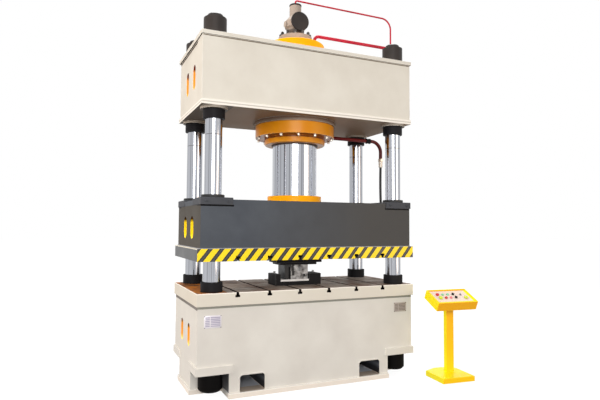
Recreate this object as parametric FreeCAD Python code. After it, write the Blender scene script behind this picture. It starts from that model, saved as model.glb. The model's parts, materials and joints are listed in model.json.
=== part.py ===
import FreeCAD, Part
import math
import os
from FreeCAD import Placement, Rotation, Vector

# Four-column hydraulic press of about 500 tonnes, with its control pedestal.
# Millimetres, +Z up, X along the front, origin on the floor under the ram.

# Overall frame
table_half_width = 1250.0
table_half_depth = 565.0
column_x = 1071.0
column_y = 425.0
column_radius = 87.0
column_hole_radius = 88.0
column_top = 3820.0
column_bottom = 72.0
column_chamfer = 6.0
thread_radius = 79.0
thread_hole_radius = 79.5
column_tube_radius = 118.0
wall = 40.0
rib = 25.0

# Round-ended recesses in the end walls: half width, bottom and top of each pair
end_slot_y = 165.0
end_slot_depth = 50.0
end_slot_tray = 15.0
bed_slot = (54.0, 455.0, 685.0)
slide_slot = (68.0, 1544.0, 1775.0)
crown_slot = (57.0, 3098.0, 3360.0)

# Bed
foot_plate_top = 50.0
foot_arm_half_width = 920.0
foot_arm_half_depth = 290.0
bed_half_width = 1235.0
bed_half_depth = 545.0
bed_arm_half_width = 915.0
bed_arm_half_depth = 280.0
ledge_bottom = 245.0
ledge_top = 320.0
bed_top = 900.0
bed_rib_x = 450.0
fork_pocket_x = 675.0
fork_pocket_half_width = 130.0
fork_pocket_top = 212.0
fork_pocket_corner = 32.0
fork_liner = 12.0
fork_liner_proud = 7.0

# Table with its T-slots
table_top = 1025.0
slot_pitch = 336.0
slot_count = 6
slot_stem_half = 14.0
slot_foot_half = 25.0
slot_stem_depth = 24.0
slot_depth = 48.0
cross_slot_y = 210.0
cross_slot_half_length = 1000.0

# Crown
crown_bottom = 2870.0
crown_floor_half_width = 1232.0
crown_floor_top = 2920.0
crown_roof_half_width = 1238.0
crown_roof_bottom = 3568.0
crown_top = 3608.0
crown_half_width = 1220.0
crown_half_depth = 550.0
crown_rib_x = 780.0
column_pad_radius = 139.0
column_pad_height = 24.0
cylinder_pad_radius = 474.0
cylinder_pad_height = 44.0
corner_band_edge_y = 337.0
corner_band_height = 6.0
cylinder_hole_radius = 342.0
cylinder_sleeve_radius = 372.0

# Column nuts and collars
top_nut_radius = 117.0
top_nut_top = 3783.0
bottom_nut_radius = 121.0
bottom_nut_bottom = 65.0
bottom_nut_chamfer = 24.0
crown_collar_radius = 111.0
crown_collar_bottom = 2750.0
bed_collar_radius = 109.0
bed_collar_top = 1125.0

# Main cylinder and ram
barrel_radius = 341.0
barrel_bottom = 2690.0
barrel_top = 3781.0
barrel_chamfer = 8.0
bore_radius = 280.0
bore_top = 3700.0
oil_port_radius = 75.0
ram_radius = 256.0
running_gap = 0.05
ram_shoulder = 2950.0
piston_top = 3100.0
ring_nut_radius = 456.0
ring_nut_bottom = 2690.0
gland_radius = 350.0
gland_bottom = 2608.0
gland_chamfer = 10.0
gland_spigot_radius = 278.0
gland_spigot_height = 90.0
gland_screw_count = 14
gland_screw_circle = 428.0
gland_screw_radius = 18.0
gland_screw_height = 27.0
gland_screw_start = -107.7
rod_seal_radius = 268.0
rod_seal_height = 7.0
ram_flange_radius = 310.0
ram_flange_height = 78.0
ram_flange_gap = 0.5
ram_screw_count = 8
ram_screw_circle = 283.0
ram_screw_radius = 15.0
ram_screw_height = 20.0
ram_screw_start = 22.5
counterbore_gap = 1.0
counterbore_depth = 22.0

# Prefill valve on the cylinder head
valve_flange_radius = 197.0
valve_flange_top = 3885.0
valve_waist_radius = 95.0
valve_waist_flare = 16.0
valve_belly_radius = 122.0
valve_belly_bottom = 4006.0
valve_belly_top = 4081.0
valve_neck_radius = 69.0
valve_neck_bottom = 4144.0
valve_neck_top = 4266.0
valve_cap_radius = 71.5
valve_cap_height = 20.0
valve_port_height = 4046.0
valve_port_radius = 92.0
valve_port_face = 124.0
port_cover_radius = 109.0
port_cover_thickness = 22.0
side_port_radius = 34.0
side_port_face = 126.0
side_port_height = 4040.0
side_cover_radius = 37.0
side_cover_thickness = 8.0
valve_bolt_count = 12
valve_bolt_circle = 172.0
valve_bolt_start = 6.6
valve_stud_radius = 10.0
valve_stud_height = 65.0
valve_nut_across = 30.0
valve_nut_height = 40.0

# Slide
slide_bottom = 1455.0
slide_top = 1940.0
slide_half_width = 1220.0
slide_half_depth = 545.0
slide_wall = 35.0
slide_inner_rib_x = 430.0
slide_outer_rib_x = 850.0
bush_radius = 105.0
bush_hole_radius = 105.5
platen_bottom = 1330.0
platen_hole_radius = 98.0
guide_flange_inner_x = 896.0
guide_flange_inner_y = 205.0
guide_flange_outer_x = 1225.0
guide_flange_outer_y = 560.0
guide_flange_bottom = 1886.0
guide_flange_top = 1958.0
guide_flange_chamfer = 4.0
guide_flange_hole_gap = 4.0
guide_screw_offset = 110.0
guide_screw_radius = 13.0
guide_screw_height = 10.0
wiper_radius = 117.0
wiper_height = 30.0
wiper_gap = 0.4
ram_boss_radius = 300.0

# Die set between table and slide
die_left = -300.0
die_right = 250.0
die_front = -200.0
die_back = 40.0
die_base_top = 1070.0
die_insert_top = 1090.0
die_insert_gap = 0.5
die_rail_top = 1150.0
die_left_rail = 60.0
die_right_rail = 150.0
die_pin_radius = 12.5
die_pin_top = 1176.0
die_pin_left_x = -270.0
die_pin_right_x = 205.0
upper_die_step = 1274.0
upper_die_foot = 1250.0
upper_die_shift = 10.0
upper_die_inset_x = 50.0
upper_die_inset_y = 10.0
punch_left = -185.0
punch_right = 96.0
punch_inset_y = 20.0
punch_relief = (-115.0, 2.0, 1180.0, 1238.0)
punch_relief_depth = 18.0
punch_groove = (-140.0, -123.0, 1228.0)
punch_groove_depth = 30.0
punch_hole_radius = 17.0
punch_hole_depth = 40.0
punch_hole_x = 47.0
punch_hole_z = 1128.0

# Pipes
pilot_radius = 10.0
pilot_run_height = 4345.0
pilot_fall = 8.0
pilot_drop_x = 1333.0
pilot_bends = (24.0, 130.0)
pressure_radius = 19.5
pressure_base = (245.0, 3770.0)
pressure_run_x = 290.0
pressure_run_height = 3982.0
pressure_y = 60.0
pressure_drop_x = 1370.0
pressure_bends = (60.0, 80.0)
pipe_end = 3260.0
union_length = 50.0
union_thread_length = 32.0
pilot_thread_radius = 11.0
pilot_union_across = 34.0
pressure_thread_radius = 22.0
pressure_union_across = 60.0
pipe_clamp_bottom = 3400.0
pipe_clamp_top = 3460.0
pipe_clamp_margin = 40.0
pipe_gap = 0.2
return_radius = 22.0
return_y = 200.0
return_height = 2780.0
return_drop_x = 1309.0
return_bend = 135.0
return_nut_across = 60.0
return_union_x = 1085.0
return_union_length = 66.0
return_union_nut = 24.0
return_union_radius = 27.0

# Return hose, its end fitting and the elbow on the bed wall
hose_radius = 16.0
hose_fitting_radius = 26.0
hose_fitting_length = 74.0
hose_fitting_nut = 36.0
outlet_height = 190.0
outlet_hex_across = 60.0
outlet_hex_length = 22.0
outlet_radius = 22.0
outlet_block_half = 26.0
hose_route = [
    (1309.0, 2450.0),
    (1309.0, 2000.0),
    (1378.0, 1550.0),
    (1470.0, 1310.0),
    (1503.0, 1065.0),
    (1490.0, 840.0),
    (1432.0, 640.0),
    (1365.0, 470.0),
    (1330.0, 345.0),
    (1330.0, 240.0),
]
hose_arc_share = 0.45

# Rating plates on the bed's front: left, right, bottom and top edges
nameplate_edges = ((-1170.0, -998.0, 690.0, 812.0), (1000.0, 1164.0, 718.0, 822.0))
nameplate_thickness = 3.0

# Control pedestal, in its own axes
pedestal_x = 1538.0
pedestal_y = -824.0
pedestal_turn = -5.3
stand_half_width = 200.0
stand_front = -192.0
stand_back = 226.0
stand_height = 57.0
stand_corner_x = 150.0
stand_corner_y = 75.0
stand_chamfer = 4.0
post_x = 41.0
post_y = 56.0
post_half_width = 47.0
post_half_depth = 28.0
post_wall = 4.0
post_reach = 1150.0
box_width = 508.0
box_length = 274.0
box_height = 100.0
box_chamfer = 5.0
box_tilt = 24.7
box_centre_y = -75.0
box_centre_z = 917.0
box_wall = 3.0
box_rim = 18.0
panel_recess = 12.0
panel_thickness = 3.0

# Buttons and knobs, placed on the panel
button_travel = 6.0
button_lift = 1.5
button_stem_radius = 11.0
button_stem_length = 12.0
button_gap = 0.8
button_sides = 24
stem_sides = 12
head_sides = 16
button_round_share = 0.45
knob_lift = 1.0
knob_disc_height = 8.0
knob_grip_height = 12.0
knob_grip_half = 5.0
back_row = 40.0
front_row = -25.0
controls = [
    {"name": "emergency_stop_button", "at": (-165.0, back_row), "radius": 20.0, "thick": 14.0},
    {"name": "pump_start_button", "at": (-97.0, back_row), "radius": 15.0, "thick": 8.0},
    {"name": "slide_up_button", "at": (-32.0, back_row), "radius": 15.0, "thick": 8.0},
    {"name": "mode_selector", "at": (37.0, back_row), "radius": 15.0, "turns": 30.0},
    {"name": "key_switch", "at": (126.0, 24.0), "radius": 12.0, "turns": 10.0},
    {"name": "left_hand_button", "at": (-160.0, front_row), "radius": 23.0, "thick": 15.0},
    {"name": "pump_stop_button", "at": (-90.0, front_row), "radius": 17.0, "thick": 10.0},
    {"name": "slide_down_button", "at": (-28.0, front_row), "radius": 15.0, "thick": 8.0},
    {"name": "speed_selector", "at": (38.0, front_row), "radius": 15.0, "turns": 30.0},
    {"name": "right_hand_button", "at": (159.0, -36.0), "radius": 23.0, "thick": 15.0},
]

up = Vector(0, 0, 1)
right = Vector(1, 0, 0)
front = Vector(0, -1, 0)
overcut = 1.0


# -------------------------------------------------------------- shapes

def box(x0, x1, y0, y1, z0, z1):
    return Part.makeBox(x1 - x0, y1 - y0, z1 - z0, Vector(x0, y0, z0))


def slab(half_x, half_y, z0, z1):
    return box(-half_x, half_x, -half_y, half_y, z0, z1)


def mirrored_box(sx, near_x, far_x, sy, near_y, far_y, z0, z1):
    # a box in the quarter of the plan that the signs sx and sy name
    x0, x1 = sorted((sx * near_x, sx * far_x))
    y0, y1 = sorted((sy * near_y, sy * far_y))
    return box(x0, x1, y0, y1, z0, z1)


def rod(radius, z0, z1, x=0.0, y=0.0):
    return Part.makeCylinder(radius, z1 - z0, Vector(x, y, z0))


def tube(outer, inner, z0, z1, x=0.0, y=0.0):
    return rod(outer, z0, z1, x, y).cut(rod(inner, z0 - overcut, z1 + overcut, x, y))


def fuse(shapes):
    return shapes[0].fuse(shapes[1:]).removeSplitter()


def edges_at(shape, radius, height):
    found = []
    for edge in shape.Edges:
        curve = edge.Curve
        if isinstance(curve, Part.Circle) and abs(curve.Radius - radius) < 0.01:
            if abs(edge.CenterOfMass.z - height) < 0.5:
                found.append(edge)
    return found


def rim_edges(shape, height):
    return [edge for edge in shape.Edges if abs(edge.BoundBox.ZMin - height) < 0.01]


def corners():
    return [(sx * column_x, sy * column_y) for sy in (-1, 1) for sx in (-1, 1)]


def quarters():
    return [(sx, sy) for sy in (-1, 1) for sx in (-1, 1)]


def revolve(profile):
    # profile: (radius, height) pairs of a closed outline, turned about Z
    points = [Vector(r, 0.0, z) for r, z in profile]
    points.append(points[0])
    face = Part.Face(Part.makePolygon(points))
    return face.revolve(Vector(0, 0, 0), up, 360)


def on_circle(count, radius, start=0.0):
    step = 2.0 * math.pi / count
    angles = [math.radians(start) + i * step for i in range(count)]
    return [(radius * math.cos(a), radius * math.sin(a)) for a in angles]


def prism(sides, radius, length, start, direction=up):
    # a many-sided bar along a direction
    points = [Vector(x, y, 0) for x, y in on_circle(sides, radius)]
    points.append(points[0])
    body = Part.Face(Part.makePolygon(points)).extrude(Vector(0, 0, length))
    body.Placement = Placement(start, Rotation(up, direction))
    return body


def hex_bar(across, length, start, direction=up):
    return prism(6, across / math.sqrt(3.0), length, start, direction)


def cap_screws(count, circle, head_radius, z0, z1, start):
    # screw heads standing or hanging on a pitch circle
    return Part.makeCompound([prism(head_sides, head_radius, z1 - z0, Vector(x, y, z0))
                              for x, y in on_circle(count, circle, start)])


def four(maker):
    return Part.makeCompound([maker(x, y) for x, y in corners()])


def column_holes(radius, z0, z1):
    return [rod(radius, z0 - overcut, z1 + overcut, x, y) for x, y in corners()]


def slot_places(half_width):
    return [(side * half_width, y) for side in (-1, 1) for y in (-end_slot_y, end_slot_y)]


def end_slots(half_width, slot):
    # round-ended recesses sunk into both end walls
    r, z0, z1 = slot
    cuts = []
    for x, y in slot_places(half_width):
        x0, x1 = sorted((x, x - math.copysign(end_slot_depth, x)))
        cuts.append(box(x0, x1, y - r, y + r, z0 + r, z1 - r))
        for z in (z0 + r, z1 - r):
            cuts.append(Part.makeCylinder(r, end_slot_depth, Vector(x0, y, z), right))
    return cuts


def slot_trays(half_width, slot):
    # the closed tray behind each recess
    r, z0, z1 = slot
    margin = r + end_slot_tray
    trays = []
    for x, y in slot_places(half_width):
        x0, x1 = sorted((x, x - math.copysign(end_slot_depth + end_slot_tray, x)))
        trays.append(box(x0, x1, y - margin, y + margin, z0 - end_slot_tray, z1 + end_slot_tray))
    return trays


# ----------------------------------------------------------------- bed

def fork_pocket(x, grow, half_depth):
    half = fork_pocket_half_width + grow
    shape = box(x - half, x + half, -half_depth, half_depth,
                foot_plate_top, fork_pocket_top + grow)
    edges = [e for e in shape.Edges
             if e.BoundBox.YLength > half_depth and e.BoundBox.ZMin > foot_plate_top + overcut]
    return shape.makeFillet(fork_pocket_corner + grow, edges)


def cross_shape(half_x, arm_x, half_y, arm_y, z0, z1):
    return slab(arm_x, half_y, z0, z1).fuse(slab(half_x, arm_y, z0, z1)).removeSplitter()


def bed_cells():
    # the closed rooms between the bed's walls and ribs
    inner_x = bed_half_width - wall
    inner_y = bed_half_depth - wall
    arm_y = bed_arm_half_depth - wall
    deck = bed_top - wall
    end_rib = bed_arm_half_width
    lines = [0.0, bed_rib_x, end_rib - wall + rib / 2]
    middle_y = bed_arm_half_depth / 2 - rib / 2
    outer_y = bed_arm_half_depth / 2 + rib / 2
    cells = []
    for sx in (-1, 1):
        for x0, x1 in zip(lines, lines[1:]):
            near_x = x0 + rib / 2
            far_x = x1 - rib / 2
            cells.append(mirrored_box(sx, near_x, far_x, 1, -middle_y, middle_y,
                                      foot_plate_top, deck))
            for sy in (-1, 1):
                cells.append(mirrored_box(sx, near_x, far_x, sy, outer_y, inner_y,
                                          foot_plate_top, deck))
        low = mirrored_box(sx, end_rib, inner_x, 1, -arm_y, arm_y, foot_plate_top, deck)
        high = mirrored_box(sx, end_rib, inner_x, 1, -inner_y, inner_y, ledge_top, deck)
        cells.append(low.fuse(high))
    return cells


def make_bed():
    foot = cross_shape(table_half_width, foot_arm_half_width,
                       table_half_depth, foot_arm_half_depth, 0.0, foot_plate_top)
    lower = cross_shape(bed_half_width, bed_arm_half_width,
                        bed_half_depth, bed_arm_half_depth, foot_plate_top, ledge_bottom)
    pieces = [foot, lower, slab(bed_half_width, bed_half_depth, ledge_bottom, bed_top)]
    for sx, sy in quarters():
        pieces.append(mirrored_box(sx, foot_arm_half_width - wall, table_half_width,
                                   sy, bed_arm_half_depth - wall, table_half_depth,
                                   ledge_bottom, ledge_top))
    hollow = fuse(pieces).cut(bed_cells())
    inner = [rod(column_tube_radius, ledge_top, bed_top, x, y) for x, y in corners()]
    inner += slot_trays(bed_half_width, bed_slot)
    for sx in (-1, 1):
        inner.append(fork_pocket(sx * fork_pocket_x, fork_liner,
                                 bed_half_depth + fork_liner_proud))
    bed = fuse([hollow] + inner)
    cuts = column_holes(column_hole_radius, ledge_bottom, bed_top)
    for sx in (-1, 1):
        cuts.append(fork_pocket(sx * fork_pocket_x, 0.0, table_half_depth))
    return bed.cut(cuts + end_slots(bed_half_width, bed_slot))


def slot_positions():
    return [(i - (slot_count - 1) / 2.0) * slot_pitch for i in range(slot_count)]


def t_slots(face_height, direction, half_depth):
    # T-slot cutters from front to back; direction -1 sinks from above, +1 rises from below
    cuts = []
    reach = half_depth + overcut
    z_mouth = face_height - direction * overcut
    z_neck = face_height + direction * slot_stem_depth
    z_floor = face_height + direction * slot_depth
    for x in slot_positions():
        for half, z_start, z_end in ((slot_stem_half, z_mouth, z_neck),
                                     (slot_foot_half, z_neck, z_floor)):
            z0, z1 = sorted((z_start, z_end))
            cuts.append(box(x - half, x + half, -reach, reach, z0, z1))
    return cuts


def make_table():
    table = slab(table_half_width, table_half_depth, bed_top, table_top)
    cuts = t_slots(table_top, -1, table_half_depth)
    for y in (-cross_slot_y, cross_slot_y):
        cuts.append(box(-cross_slot_half_length, cross_slot_half_length,
                        y - slot_stem_half, y + slot_stem_half,
                        table_top - slot_stem_depth, table_top + overcut))
    return table.cut(cuts + column_holes(column_hole_radius, bed_top, table_top))


# --------------------------------------------------------------- crown

def make_crown():
    floor = slab(crown_floor_half_width, table_half_depth, crown_bottom, crown_floor_top)
    roof = slab(crown_roof_half_width, table_half_depth, crown_roof_bottom, crown_top)
    walls = slab(crown_half_width, crown_half_depth, crown_floor_top, crown_roof_bottom)
    inner_x = crown_half_width - wall
    inner_y = crown_half_depth - wall
    cells = []
    for sx, sy in quarters():
        cells.append(mirrored_box(sx, crown_rib_x + rib / 2, inner_x, sy, rib / 2, inner_y,
                                  crown_floor_top, crown_roof_bottom))
    for sy in (-1, 1):
        cells.append(mirrored_box(1, -crown_rib_x + rib / 2, crown_rib_x - rib / 2,
                                  sy, rib / 2, inner_y, crown_floor_top, crown_roof_bottom))
    pieces = [fuse([floor, roof, walls]).cut(cells)]
    pieces.append(rod(cylinder_pad_radius, crown_bottom - cylinder_pad_height, crown_bottom))
    pieces.append(rod(cylinder_sleeve_radius, crown_floor_top, crown_roof_bottom))
    for x, y in corners():
        pieces.append(rod(column_pad_radius, crown_bottom - column_pad_height, crown_bottom, x, y))
        pieces.append(rod(column_tube_radius, crown_floor_top, crown_roof_bottom, x, y))
    for sx in (-1, 1):
        pieces.append(mirrored_box(sx, crown_half_width, crown_half_width + corner_band_height,
                                   -1, corner_band_edge_y, crown_half_depth,
                                   crown_floor_top, crown_roof_bottom))
    crown = fuse(pieces + slot_trays(crown_half_width, crown_slot))
    lowest = crown_bottom - cylinder_pad_height
    cuts = [rod(cylinder_hole_radius, lowest - overcut, crown_top + overcut)]
    cuts += column_holes(column_hole_radius, lowest, crown_top)
    return crown.cut(cuts + end_slots(crown_half_width, crown_slot))


# --------------------------------------------- columns and their nuts

def make_column(x, y):
    # full size between the two nuts, turned down for the thread at each end
    bar = fuse([rod(column_radius, ledge_bottom, crown_top, x, y),
                rod(thread_radius, column_bottom, column_top, x, y)])
    return bar.makeChamfer(column_chamfer, edges_at(bar, thread_radius, column_bottom)
                           + edges_at(bar, thread_radius, column_top))


def top_nut(x, y):
    return tube(top_nut_radius, thread_hole_radius, crown_top, top_nut_top, x, y)


def bottom_nut(x, y):
    shape = tube(bottom_nut_radius, thread_hole_radius, bottom_nut_bottom, ledge_bottom, x, y)
    return shape.makeChamfer(bottom_nut_chamfer,
                             edges_at(shape, bottom_nut_radius, bottom_nut_bottom))


def crown_collar(x, y):
    return tube(crown_collar_radius, column_hole_radius, crown_collar_bottom,
                crown_bottom - column_pad_height, x, y)


def bed_collar(x, y):
    return tube(bed_collar_radius, column_hole_radius, table_top, bed_collar_top, x, y)


# ------------------------------------------------- cylinder and ram

def make_barrel():
    body = rod(barrel_radius, barrel_bottom, barrel_top)
    body = body.makeChamfer(barrel_chamfer, edges_at(body, barrel_radius, barrel_top))
    return body.cut([rod(bore_radius, barrel_bottom - overcut, bore_top),
                     rod(oil_port_radius, bore_top - overcut, barrel_top + overcut)])


def make_ring_nut():
    return tube(ring_nut_radius, cylinder_hole_radius, ring_nut_bottom,
                crown_bottom - cylinder_pad_height)


def make_gland():
    # a flanged bush: its spigot goes up into the bore and carries the ram
    inner = ram_radius + running_gap
    top = ring_nut_bottom + gland_spigot_height
    profile = [(inner, gland_bottom), (gland_radius - gland_chamfer, gland_bottom),
               (gland_radius, gland_bottom + gland_chamfer), (gland_radius, ring_nut_bottom),
               (gland_spigot_radius, ring_nut_bottom), (gland_spigot_radius, top),
               (inner, top)]
    return revolve(profile)


def make_ram():
    piston = bore_radius - running_gap
    profile = [(0.0, slide_top), (ram_radius, slide_top), (ram_radius, ram_shoulder),
               (piston, ram_shoulder), (piston, piston_top), (0.0, piston_top)]
    return revolve(profile)


def make_ram_flange():
    # holds the ram's foot to the slide; its screw heads sit in counterbores
    top = slide_top + ram_flange_height
    body = tube(ram_flange_radius, ram_radius + ram_flange_gap, slide_top, top)
    wells = [prism(head_sides, ram_screw_radius + counterbore_gap, counterbore_depth + overcut,
                   Vector(x, y, top - counterbore_depth))
             for x, y in on_circle(ram_screw_count, ram_screw_circle, ram_screw_start)]
    return body.cut(wells)


def make_ram_screws():
    bottom = slide_top + ram_flange_height - counterbore_depth
    return cap_screws(ram_screw_count, ram_screw_circle, ram_screw_radius,
                      bottom, bottom + ram_screw_height, ram_screw_start)


# --------------------------------------------------------- prefill valve

def make_valve():
    profile = [(0.0, barrel_top), (valve_flange_radius, barrel_top),
               (valve_flange_radius, valve_flange_top),
               (valve_waist_radius + valve_waist_flare, valve_flange_top),
               (valve_waist_radius, valve_flange_top + valve_waist_flare),
               (valve_waist_radius, valve_belly_bottom - valve_waist_flare),
               (valve_belly_radius, valve_belly_bottom),
               (valve_belly_radius, valve_belly_top),
               (valve_neck_radius, valve_neck_bottom),
               (valve_neck_radius, valve_neck_top),
               (0.0, valve_neck_top)]
    front_port = Part.makeCylinder(valve_port_radius, valve_port_face,
                                   Vector(0, 0, valve_port_height), front)
    side_port = Part.makeCylinder(side_port_radius, side_port_face,
                                  Vector(0, 0, side_port_height), -right)
    return fuse([revolve(profile), front_port, side_port])


def make_port_cover():
    return Part.makeCylinder(port_cover_radius, port_cover_thickness,
                             Vector(0, -valve_port_face, valve_port_height), front)


def make_side_cover():
    return Part.makeCylinder(side_cover_radius, side_cover_thickness,
                             Vector(-side_port_face, 0, side_port_height), -right)


def make_valve_bolts():
    # studs with hexagon nuts round the flange
    bolts = []
    for x, y in on_circle(valve_bolt_count, valve_bolt_circle, valve_bolt_start):
        start = Vector(x, y, valve_flange_top)
        stud = prism(stem_sides, valve_stud_radius, valve_stud_height, start)
        bolts.append(fuse([hex_bar(valve_nut_across, valve_nut_height, start), stud]))
    return Part.makeCompound(bolts)


# ------------------------------------------------------- pipes and hose

def bent_tube(points, bends, radius):
    # straight runs joined by tangent arcs; bends holds one arc radius per inner point
    pieces = []
    ideal_length = 0.0
    start = points[0]
    for before, corner, after, bend in zip(points, points[1:], points[2:], bends):
        into = (corner - before).normalize()
        out = (after - corner).normalize()
        turn = into.getAngle(out)
        back = bend * math.tan(turn / 2.0)
        arc_start = corner - into * back
        run = (arc_start - start).Length
        pieces.append(Part.makeCylinder(radius, run, start, into))
        inward = (out - into).normalize()
        centre = corner + inward * (bend / math.cos(turn / 2.0))
        section = Part.Face(Part.Wire(Part.makeCircle(radius, arc_start, into)))
        pieces.append(section.revolve(centre, into.cross(out), math.degrees(turn)))
        ideal_length += run + bend * turn
        start = corner + out * back
    last = points[-1] - start
    pieces.append(Part.makeCylinder(radius, last.Length, start, last))
    ideal_length += last.Length
    body = fuse(pieces)
    volume_ratio = body.Volume / (math.pi * radius ** 2 * ideal_length)
    print("tube length", round(ideal_length), "volume ratio", round(volume_ratio, 4))
    return body


def make_pilot_pipe():
    cap_top = valve_neck_top + valve_cap_height
    points = [Vector(0, 0, cap_top), Vector(0, 0, pilot_run_height),
              Vector(pilot_drop_x, 0, pilot_run_height - pilot_fall),
              Vector(pilot_drop_x, 0, pipe_end)]
    return bent_tube(points, pilot_bends, pilot_radius)


def make_pressure_pipe():
    base_x, base_z = pressure_base
    points = [Vector(base_x, pressure_y, base_z),
              Vector(pressure_run_x, pressure_y, pressure_run_height),
              Vector(pressure_drop_x, pressure_y, pressure_run_height),
              Vector(pressure_drop_x, pressure_y, pipe_end)]
    pipe = bent_tube(points, pressure_bends, pressure_radius)
    return pipe.cut(rod(barrel_radius, bore_top, barrel_top))


def make_return_pipe():
    start_x = ring_nut_radius - 3.0 * return_radius
    pipe_foot = hose_route[0][1] + hose_fitting_length + hose_fitting_nut
    points = [Vector(start_x, return_y, return_height),
              Vector(return_drop_x, return_y, return_height),
              Vector(return_drop_x, return_y, pipe_foot)]
    pipe = bent_tube(points, [return_bend], return_radius)
    return pipe.cut(rod(ring_nut_radius + pipe_gap, ring_nut_bottom, crown_bottom))


def make_return_union():
    # two hexagon nuts on a sleeve round the pipe
    start = Vector(return_union_x, return_y, return_height)
    last_nut = return_union_length - return_union_nut
    body = fuse([hex_bar(return_nut_across, return_union_nut, start, right),
                 Part.makeCylinder(return_union_radius, return_union_length, start, right),
                 hex_bar(return_nut_across, return_union_nut, start + right * last_nut, right)])
    hole = Part.makeCylinder(return_radius + pipe_gap, return_union_length + 2 * overcut,
                             start - right * overcut, right)
    return body.cut(hole)


def make_hose_fitting():
    x, z = hose_route[0]
    nut_z = z + hose_fitting_length
    return fuse([rod(hose_fitting_radius, z, nut_z, x, return_y),
                 hex_bar(return_nut_across, hose_fitting_nut, Vector(x, return_y, nut_z))])


def make_hose():
    points = [Vector(x, return_y, z) for x, z in hose_route]
    radii = []
    for a, b, c in zip(points, points[1:], points[2:]):
        turn = (b - a).getAngle(c - b)
        shorter = min((b - a).Length, (c - b).Length)
        radii.append(hose_arc_share * shorter / math.tan(turn / 2.0))
    print("return hose radii", [round(r) for r in radii])
    return bent_tube(points, radii, hose_radius)


def make_hose_outlet():
    x, top = hose_route[-1]
    half = outlet_block_half
    wall_point = Vector(bed_half_width, return_y, outlet_height)
    return fuse([Part.makeCylinder(outlet_radius, x - bed_half_width, wall_point, right),
                 hex_bar(outlet_hex_across, outlet_hex_length, wall_point, right),
                 box(x - half, x + half, return_y - half, return_y + half,
                     outlet_height - half, outlet_height + half),
                 rod(outlet_radius, outlet_height, top, x, return_y)])


def make_pipe_unions():
    # a nut on each pipe end, with a threaded mouth below for the line from the pump
    bottom = pipe_end - union_length
    unions = []
    for x, y, thread, across in (
            (pilot_drop_x, 0.0, pilot_thread_radius, pilot_union_across),
            (pressure_drop_x, pressure_y, pressure_thread_radius, pressure_union_across)):
        body = hex_bar(across, union_length, Vector(x, y, bottom))
        unions.append(body.cut(rod(thread, bottom - overcut, bottom + union_thread_length, x, y)))
    return Part.makeCompound(unions)


def make_pipe_clamp():
    body = box(crown_half_width, pressure_drop_x + pipe_clamp_margin,
               -pipe_clamp_margin, pressure_y + pipe_clamp_margin,
               pipe_clamp_bottom, pipe_clamp_top)
    z0 = pipe_clamp_bottom - overcut
    z1 = pipe_clamp_top + overcut
    return body.cut([rod(pilot_radius + pipe_gap, z0, z1, pilot_drop_x, 0.0),
                     rod(pressure_radius + pipe_gap, z0, z1, pressure_drop_x, pressure_y)])


# ---------------------------------------------------------------- slide

def slide_cells(floor_top, roof_bottom):
    inner_x = slide_half_width - slide_wall
    inner_y = slide_half_depth - slide_wall
    low_roof = guide_flange_bottom - wall
    cells = []
    for sy in (-1, 1):
        cells.append(mirrored_box(1, -slide_inner_rib_x + rib / 2, slide_inner_rib_x - rib / 2,
                                  sy, rib / 2, inner_y, floor_top, roof_bottom))
        for sx in (-1, 1):
            cells.append(mirrored_box(sx, slide_inner_rib_x + rib / 2, slide_outer_rib_x - rib / 2,
                                      sy, rib / 2, inner_y, floor_top, roof_bottom))
    near = slide_outer_rib_x + rib / 2
    middle_y = guide_flange_inner_y - slide_wall
    for sx in (-1, 1):
        low = mirrored_box(sx, near, inner_x, 1, -inner_y, inner_y, floor_top, low_roof)
        high = mirrored_box(sx, near, inner_x, 1, -middle_y, middle_y, floor_top, roof_bottom)
        cells.append(low.fuse(high))
    return cells


def make_slide_box():
    floor_top = slide_bottom + wall
    roof_bottom = slide_top - wall
    outer = slab(slide_half_width, slide_half_depth, slide_bottom, slide_top)
    pieces = [outer.cut(slide_cells(floor_top, roof_bottom))]
    pieces.append(rod(ram_boss_radius, floor_top, roof_bottom))
    for x, y in corners():
        pieces.append(rod(column_tube_radius, floor_top, guide_flange_bottom, x, y))
    slide = fuse(pieces + slot_trays(slide_half_width, slide_slot))
    cuts = column_holes(bush_hole_radius, slide_bottom, slide_top)
    for sx, sy in quarters():
        # the seat of each guide flange, open to the two outer sides
        cuts.append(mirrored_box(sx, guide_flange_inner_x, slide_half_width + overcut,
                                 sy, guide_flange_inner_y, slide_half_depth + overcut,
                                 guide_flange_bottom, slide_top + overcut))
    return slide.cut(cuts + end_slots(slide_half_width, slide_slot))


def make_platen():
    platen = slab(table_half_width, table_half_depth, platen_bottom, slide_bottom)
    cuts = t_slots(platen_bottom, 1, table_half_depth)
    return platen.cut(cuts + column_holes(platen_hole_radius, platen_bottom, slide_bottom))


def guide_flange(x, y):
    plate = mirrored_box(math.copysign(1.0, x), guide_flange_inner_x, guide_flange_outer_x,
                         math.copysign(1.0, y), guide_flange_inner_y, guide_flange_outer_y,
                         guide_flange_bottom, guide_flange_top)
    plate = plate.makeChamfer(guide_flange_chamfer, rim_edges(plate, guide_flange_top))
    return plate.cut(rod(column_radius + guide_flange_hole_gap, guide_flange_bottom - overcut,
                         guide_flange_top + overcut, x, y))


def guide_bush(x, y):
    return tube(bush_radius, column_radius + running_gap, slide_bottom, guide_flange_bottom, x, y)


def guide_wiper(x, y):
    return tube(wiper_radius, column_radius + wiper_gap, guide_flange_top,
                guide_flange_top + wiper_height, x, y)


def make_flange_screws():
    # two socket screws on the outer face of each guide flange
    z = (guide_flange_bottom + guide_flange_top) / 2.0
    middle_x = (guide_flange_inner_x + guide_flange_outer_x) / 2.0
    screws = []
    for sx, sy in quarters():
        for offset in (-guide_screw_offset, guide_screw_offset):
            start = Vector(sx * middle_x + offset, sy * guide_flange_outer_y, z)
            screws.append(prism(head_sides, guide_screw_radius, guide_screw_height,
                                start, Vector(0, sy, 0)))
    return Part.makeCompound(screws)


# -------------------------------------------------------------- die set

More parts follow.
